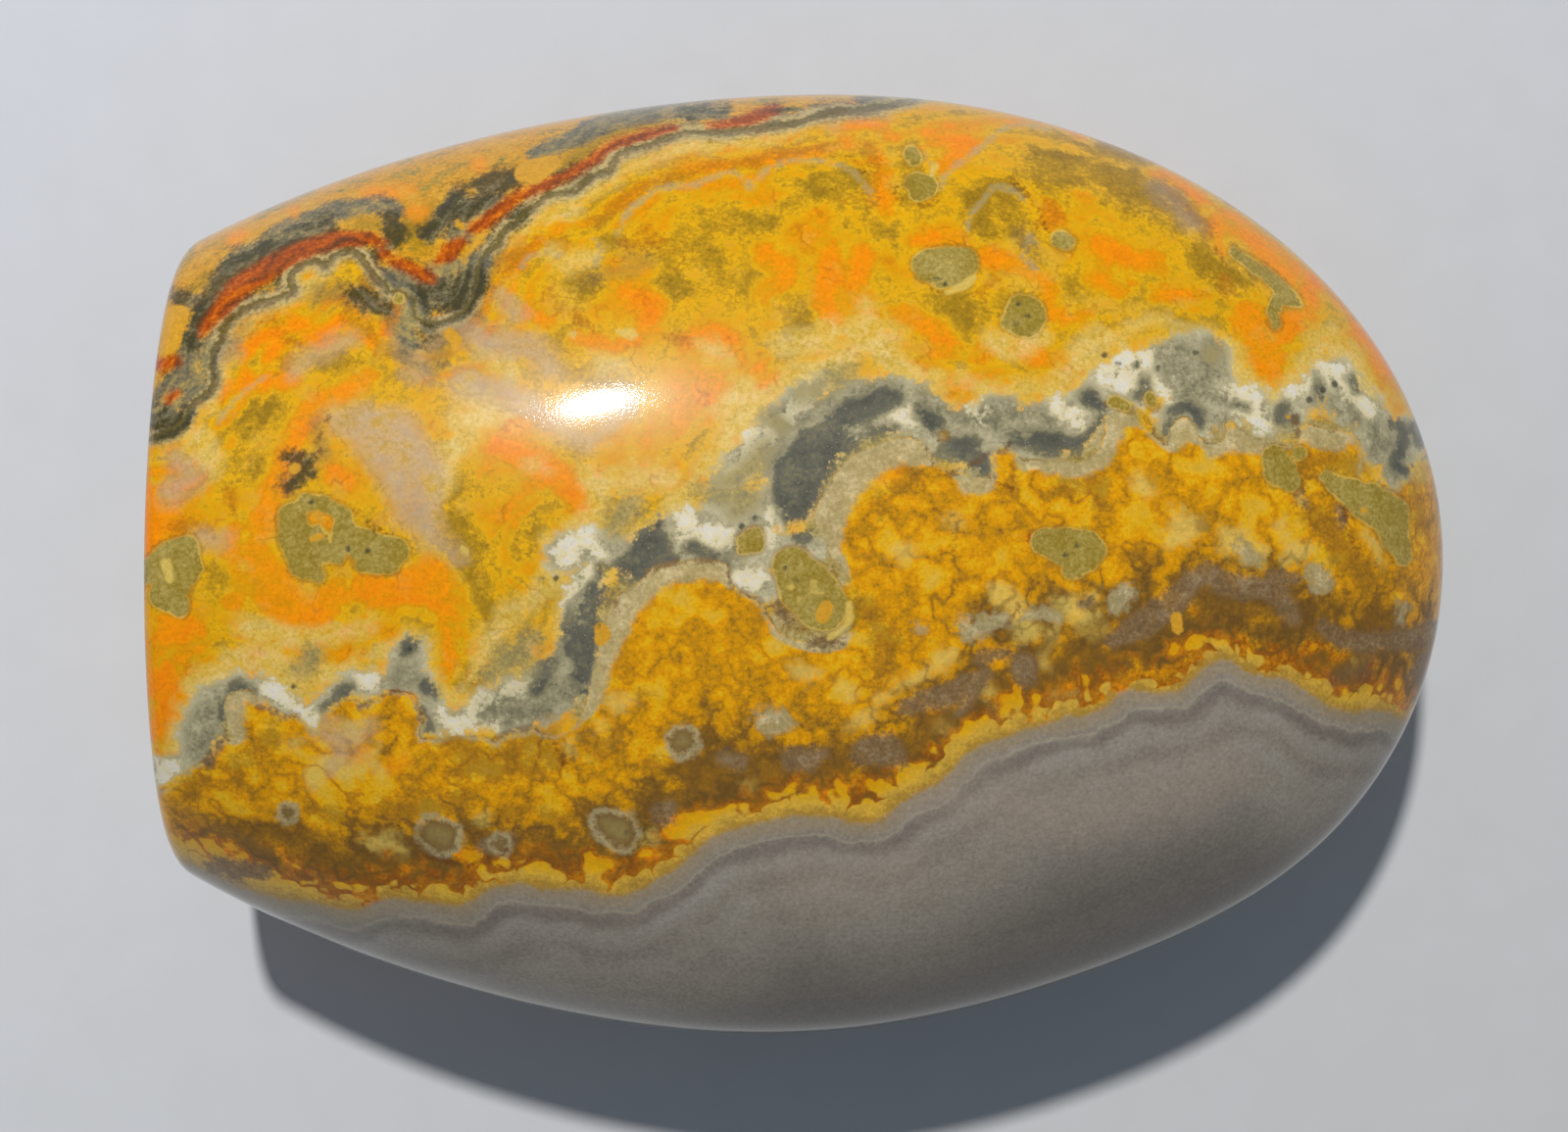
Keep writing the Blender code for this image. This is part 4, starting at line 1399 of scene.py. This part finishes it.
object_place = node_wire(paint, "ShaderNodeTexCoord", output="Object")
drift = noise_wire(7.0, 2.0, shift=0.013)
tint = noise_wire(2.4, 4.0, 0.62, shift=0.071)
curd = noise_wire(1.3, 4.0, 0.68, shift=0.031)
grit = noise_wire(0.3, 2.0, 0.75, shift=0.047)
fold = noise_wire(3.0, 2.0, 0.6, shift=0.11).math("ABSOLUTE")
cloud = field_wire("cloud")
cloud_edge = field_wire("cloud_edge")
grey_edge = field_wire("grey_edge")
lace_edge = field_wire("lace_edge")
print("noises ready")

# %% [markdown]
# ## Gold above the cloud
#
# Gold is the ground that everything lies on. One number, its heat, leads from olive over ochre and
# gold to orange. Slow noise makes it drift, and the strokes of ember and olive push it up and down.

# %% Gold above the cloud
def gold_ground():
    near_lace = within((lace_edge + 2.8).math("ABSOLUTE") - 1.8, 1.0)
    near_cloud = within((cloud - 2.4).math("ABSOLUTE") - 1.6, 1.0)
    growth = ((lace_edge + tint * 0.5) * 4.4).math("SINE") * near_lace
    growth = growth + ((cloud + tint * 0.8) * 5.0).math("SINE") * near_cloud * 0.6
    heat = drift * 0.6 + tint * 0.7 + curd * 0.25 + grit * 0.3 + growth * 0.3 + 0.0
    heat = heat + within(field_wire("ember") - 0.1 + tint * 0.5, 0.5, 0.9, 0.15)
    heat = heat - within(field_wire("olive") - 0.2 + tint * 0.3, 1.1, 0.6, 0.15) * 0.75
    return blend(
        heat, (-1.2, "deep olive"), (-0.75, "olive"), (-0.4, "dull lemon"), (-0.05, "lemon"),
        (0.35, "gold"), (0.9, "orange"), (1.7, "deep orange"),
    )


def pale_patches(under):
    # Straw patches: pale rock, and round the sun's glint painted sheen.
    straw = within(field_wire("straw") + tint * 0.7, 0.7, 1.0, 0.2)
    arcs = within(field_wire("pale_lines") - 0.18, 0.2, 0.3, 0.2)
    washed = lay(under, "russet", within(field_wire("russet"), 0.45, 0.7, 0.4) * 0.75)
    washed = lay(washed, "biscuit", ramp(tint - drift * 0.6, 0.25, 0.7) * 0.4)
    washed = lay(washed, blend(curd + grit * 0.5, (-0.9, "lemon"), (-0.1, "straw"), (0.9, "cream")), straw * 0.68)
    washed = lay(washed, "russet", ramp(grit - curd * 0.3, 0.5, 0.8) * 0.4)
    hairs = (1.0 - ramp(fold + curd * 0.05 + grit * 0.02, 0.01, 0.09)) * ramp(tint + curd * 0.5, -0.1, 0.6)
    washed = lay(washed, "brick", hairs * 0.38)
    return lay(washed, "tan", arcs * 0.6)


colour = pale_patches(gold_ground())
print("gold laid")

# %% [markdown]
# ## Gold below the cloud
#
# Here the gold grew in bushy lobes. Noise folded at zero leaves thin winding creases, and those
# are the brown seams between lobes. Halfway down to the grey the lobes turn brown and olive, and
# just above the grey they are stained brick red, behind a fuzzy fringe of straw.

# %% Gold below the cloud
height = (grey_edge * -1.0).math("MAXIMUM", 0.0)
depth = cloud_edge.math("MAXIMUM", 0.0)
fall = depth / (depth + height + 0.2) + drift * 0.1 + curd * 0.07
below_cloud = ramp(cloud_edge, 0.0, 0.4)
shade = ramp(fall, 0.36, 0.72) * (1.0 - ramp(fall, 0.9, 0.97))
bush = fold * 1.5 + tint * 0.5 + grit * 0.24 - shade * 0.85 - 0.12
lobes = blend(
    bush, (-0.9, "bark"), (-0.45, "umber"), (-0.1, "ochre"), (0.2, "gold"), (0.5, "lemon"), (1.3, "biscuit"),
)
colour = lay(colour, lobes, below_cloud)
colour = lay(colour, "orange", within(field_wire("ember"), 0.6, 1.0, 0.3) * below_cloud * 0.6)
colour = lay(colour, "straw", within(field_wire("straw"), 0.6, 1.0, 0.35) * below_cloud * 0.7)
colour = lay(colour, "umber", within(field_wire("umber"), 0.6, 1.0, 0.3) * 0.6)
seams = (1.0 - ramp(fold + grit * 0.04, 0.03, 0.16)) * ramp(tint + drift * 0.5 + shade, -0.3, 0.6)
colour = lay(colour, "bark", seams * below_cloud * 0.4)
colour = lay(colour, "bark", ramp(grit - curd * 0.3, 0.5, 0.8) * below_cloud * (shade * 0.3 + 0.25))
lump = height - fold * 4.2 + drift * 1.2 + tint * 0.8 + curd * 0.4 + grit * 0.12 - 0.35
stain = within(lump - 1.1, 0.9, 0.3, 0.3) * ramp(tint + drift * 0.6, -0.9, 0.0) * ramp(cloud_edge, 2.0, 4.0)
stained = blend(tint + curd * 0.5 + grit * 0.5, (-0.9, "umber"), (-0.3, "brick"), (0.3, "russet"), (0.9, "deep orange"))
colour = lay(colour, stained, stain * 0.85)
lumpy = blend(height + curd * 0.6 + grit * 0.3, (0.0, "fringe"), (0.8, "biscuit"), (1.6, "lemon"), (2.8, "gold"))
colour = lay(colour, lumpy, within(lump, 0.25) * ramp(cloud_edge, 1.5, 3.0) * 0.88)
haze = field_wire("haze") + curd * 0.6 + grit * 0.15
hazy = blend(tint + curd * 0.5 + grit * 0.4, (-0.9, "biscuit"), (-0.1, "pink"), (0.7, "lacy"))
colour = lay(colour, hazy, within(haze + tint * 0.9, 0.9) * (curd * 0.35 + 0.7))
colour = lay(colour, "mauve", within((haze + 0.1).math("ABSOLUTE") - 0.1, 0.3) * ramp(drift, -0.2, 0.4) * 0.4)
veil = within(field_wire("veil") + tint * 0.6, 1.0, 0.7, 0.2) * (curd * 0.2 + 0.55)
colour = lay(colour, "smoky", veil)
print("lobes laid")

# %% [markdown]
# ## The dark corner
#
# Beyond the lace line colours run in streaks along it: noise that is read in the distance from the
# line, and slowly along it. On top lie the bands of rust, slate and tar. The lace itself is a thin
# olive thread between two tan ones, and a narrow band of distance is a clean thread.

# %% Dark corner
def streak_noise():
    split = paint.nodes.new("ShaderNodeSeparateXYZ")
    plug(paint, split.inputs[0], object_place)
    x, z = Wire(paint, split.outputs[0]), Wire(paint, split.outputs[2])
    return noise_wire(1.3, 3.0, 0.62, place=join_position(paint, x * 0.3, lace_edge / MM, z * 0.3))


streak = streak_noise()
layered = ((lace_edge + tint * 0.3 + curd * 0.2) * 7.0).math("SINE") * (within(lace_edge - 3.0, 1.5) * 0.8 + 0.2)
mixed = streak * 0.65 + layered * 0.18 + curd * 0.4 + grit * 0.3
skin = blend(mixed, (-0.9, "fern"), (-0.45, "sage"), (-0.05, "apricot"), (0.4, "peach"), (0.9, "orange"))
beyond = ramp(lace_edge + curd * 0.2, 0.4, 0.8)
colour = lay(colour, skin, beyond)
colour = lay(colour, "olive", within(field_wire("olive") + streak * 0.5, 0.5, 0.3, 0.3) * beyond * 0.85)
colour = lay(colour, "orange", within(field_wire("ember") + streak * 0.5, 0.5, 0.3, 0.3) * beyond * 0.85)
thread = (lace_edge + tint * 0.15 + curd * 0.25 + grit * 0.1).math("ABSOLUTE")
lace = blend(streak * 0.6 + layered * 0.35 + curd * 0.2 + grit * 0.4, (-0.8, "tar"), (-0.2, "slate"), (0.4, "tan"))
colour = lay(colour, lace, within(thread - 0.75, 0.35, 0.3, 0.25) * 0.85)
slaty = blend(mixed, (-0.9, "soot"), (-0.2, "slate"), (0.5, "khaki"))
colour = lay(colour, slaty, within(field_wire("slate") - 0.2 + streak * 0.5, 0.4, 0.3, 0.3) * 0.94)
tarry = blend(mixed, (-0.8, "soot"), (-0.1, "tar"), (0.45, "slate"), (0.9, "sage"))
colour = lay(colour, tarry, within(field_wire("tar") - 0.4 + streak * 0.5, 0.5, 0.5, 0.3) * 0.9)
rusty = blend(mixed, (-0.5, "dark rust"), (0.1, "rust"), (0.9, "deep orange"))
colour = lay(colour, rusty, within(field_wire("rust") - 0.1 + streak * 0.3, 0.3, 0.25, 0.2) * 0.95)
colour = lay(colour, "line", within(thread - 0.1, 0.12) * ramp(tint, -1.0, -0.1) * 0.9)
print("dark corner laid")

# %% [markdown]
# ## The cloud's colours
#
# The cloud is smoke in a number too: chalk is 0, cream and ash lie between, and soot is above 1.
# Its upper side frays into the gold, and its lower edge is cut sharp, with a broken brown thread
# and a tan rim under it.

# %% Cloud
above = within(cloud_edge, 0.1, 0.15, 0.12)
ashes = within(field_wire("ash"), 0.35, 0.9, 0.25)
inks = within(field_wire("ink") - 0.05, 0.35, 0.9, 0.3)
chalks = within(field_wire("chalk"), 0.3, 0.9, 0.3)
smoke = curd * 0.4 + grit * 0.28 + drift * 0.1 + ashes * 0.18 + inks * 0.54 - chalks * 0.3 + 0.46
smoky = blend(
    smoke, (0.0, "chalk"), (0.2, "cream"), (0.42, "pale ash"), (0.64, "ash"), (0.82, "dark ash"),
    (1.02, "charcoal"), (1.4, "soot"),
)
fringe = within(cloud - 0.4 + tint * 0.6, 0.8, 1.0, 0.4) * within(cloud_edge, 0.4, 0.3)
colour = lay(colour, blend(curd + grit * 0.5, (-0.8, "lemon"), (0.0, "straw"), (0.9, "cream")), fringe * 0.6)
bed = within(field_wire("rim") - 1.1, 0.4, 0.4, 0.2) * above
colour = lay(colour, blend(curd + grit * 0.4, (-0.8, "bark"), (0.0, "khaki"), (0.9, "pale ash")), bed * 0.9)
colour = lay(colour, smoky, within(cloud, 0.35, 1.0, 0.3) * above)
smudge = blend(curd + grit * 0.4, (-0.9, "dark ash"), (0.0, "khaki"), (0.9, "tan"))
colour = lay(colour, smudge, within(field_wire("khaki"), 0.8, 0.6, 0.3) * 0.9)
colour = lay(colour, "soot", ramp(grit - curd * 0.2, 0.6, 0.8) * ashes * above * 0.6)
colour = lay(colour, "pale ash", ramp(grit + curd * 0.3, 0.45, 0.8) * inks * above * 0.5)
gap = within(cloud_edge - 0.6, 0.3) * 0.6
rim = within(field_wire("rim") - gap - 0.1, 0.3, 0.5, 0.15) * ramp(cloud_edge, -0.1, 0.1)
near_cloud = within(cloud - 2.0, 0.8)
thin_rim = within((cloud_edge - 0.15).math("ABSOLUTE") - 0.16, 0.2, 0.3, 0.2) * near_cloud
colour = lay(colour, "tan", thin_rim * ramp(tint, -0.7, 0.2) * 0.85)
colour = lay(colour, blend(curd + grit * 0.3, (-1.2, "khaki"), (0.0, "tan"), (1.2, "cream")), rim * 0.92)
crinkle = (cloud_edge + curd * 0.3 + grit * 0.1).math("ABSOLUTE")
colour = lay(colour, "bark", within(crinkle - 0.05, 0.09) * ramp(tint, -0.2, 0.4) * near_cloud * 0.8)
print("cloud laid")

# %% [markdown]
# ## Grey agate
#
# The grey runs in faint bands along its edge, with one pale lacy thread near the top. Deeper down
# only slow clouds and a fine grain are left, under painted shade: a darker grey that grows towards
# the stone's lower edge.

# %% Grey agate
bands = ((grey_edge + drift * 0.7 + curd * 0.15) * 2.4).math("SINE") * within(grey_edge - 5.0, 4.0) * 0.55
agate = blend(bands + drift * 0.6 + grit * 0.25, (-1.0, "dark grey"), (0.0, "grey"), (1.0, "light grey"))
agate = lay(agate, "blush", (1.0 - ramp(grey_edge + tint * 0.4, 0.7, 1.5)) * 0.9)
agate = lay(agate, "dark grey", within((grey_edge - 2.2 + tint * 0.5).math("ABSOLUTE") - 0.35, 0.35) * 0.6)
agate = lay(agate, "lacy", within((grey_edge - 1.5 + tint * 0.5).math("ABSOLUTE") - 0.1, 0.12, 0.0, 0.05) * 0.6)
# Painted shade: a darker grey grows with distance below the agate's top edge, towards the stone's lower edge and onto
# the underside.
agate = lay(agate, "painted shade grey", ramp(grey_edge + drift, 7.0, 14.0) * 0.8)
agate = lay(agate, "rosy grey", within(field_wire("lens") + drift * 1.5, 2.5) * 0.6)
colour = lay(colour, agate, ramp(grey_edge + curd * 0.25 + grit * 0.2, -0.1, 0.5))
print("grey laid")

# %% [markdown]
# ## Discs, rings, inclusions and drops
#
# Last come the marks with an outline of their own. The mossy inclusions are lumps of older rock,
# so they are speckled with pale and dark grains, and have a thin pale rim inside a brown one.

# %% Discs, rings, inclusions and drops
mauves = blend(curd + grit * 0.5, (-0.8, "dark mauve"), (0.0, "mauve"), (0.9, "blush"))
colour = lay(colour, mauves, within(field_wire("mauve"), 0.35, 0.6, 0.3) * 0.88)
paled = within(field_wire("pale"), 0.35, 0.9, 0.25)
colour = lay(colour, "bark", within(field_wire("pale") - 0.25, 0.3, 0.9, 0.25) * 0.3)
colour = lay(colour, blend(curd + grit * 0.5, (-0.9, "khaki"), (0.0, "pale"), (0.9, "cream")), paled * 0.85)
rings = field_wire("rings")
colour = lay(colour, "pale", within(rings - 0.45, 0.2, 0.5, 0.15) * ramp(tint, -0.8, 0.1) * 0.85)
colour = lay(colour, "bark", within(rings, 0.3, 0.5, 0.2) * 0.85)
colour = lay(colour, "khaki", within(rings + 0.45, 0.4, 0.5, 0.2) * 0.5)
moss = field_wire("moss") + curd * 0.22
colour = lay(colour, "umber", within(moss - 0.22, 0.16, 0.0, 0.15) * ramp(tint, -0.9, 0.3) * 0.6)
colour = lay(colour, "straw", within(moss - 0.06, 0.09, 0.0, 0.08) * ramp(tint * -1.0, -0.7, 0.5) * 0.7)
speckled = blend(
    grit * 0.4 + curd * 0.3 + drift * 0.5, (-1.0, "deep olive"), (-0.2, "moss"), (0.5, "pale moss"), (1.2, "cream"),
)
inside_moss = within(moss + 0.06, 0.08, 0.0, 0.05)
colour = lay(colour, speckled, inside_moss)
colour = lay(colour, "straw", within(field_wire("flecks"), 0.12, 0.2, 0.15) * 0.8)
colour = lay(colour, "mustard", within(field_wire("mustard"), 0.1, 0.2, 0.1))
colour = lay(colour, "dark rust", within(field_wire("dark_lines") - 0.16, 0.18, 0.3, 0.2) * 0.55)
colour = lay(colour, "soot", within(field_wire("dots") - 0.26, 0.1) * 0.8)
print("drops laid")

# %% [markdown]
# ## Grain and polish
#
# A fine grain lies over all colours. The polish is nearly a mirror: the faint ripple left by the
# last grit breaks the edge of the sun's glint into sparks.

# %% Grain and polish
POLISH = 0.058
DULL = 0.16

grained = paint.nodes.new("ShaderNodeVectorMath")
grained.operation = "SCALE"
plug(paint, grained.inputs[0], colour)
plug(paint, grained.inputs["Scale"], grit * 0.2 + curd * 0.09 + 0.97)
shader = paint.nodes["Principled BSDF"]
plug(paint, shader.inputs["Base Color"], Wire(paint, grained.outputs[0]))
plug(paint, shader.inputs["Roughness"], pick(inside_moss, DULL, POLISH))
shader.inputs["IOR"].default_value = 1.25
shader.inputs["Coat Weight"].default_value = 0.19
shader.inputs["Coat Roughness"].default_value = 0.27
bump = paint.nodes.new("ShaderNodeBump")
bump.inputs["Strength"].default_value = 1.0
bump.inputs["Distance"].default_value = 0.0000012
plug(paint, bump.inputs["Height"], noise_wire(0.14, 1.0, shift=0.09))
paint.links.new(bump.outputs["Normal"], shader.inputs["Normal"])
print("nodes:", len(paint.nodes))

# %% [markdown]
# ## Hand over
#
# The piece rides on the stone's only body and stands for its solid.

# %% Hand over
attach(stone, "root")
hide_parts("stone")
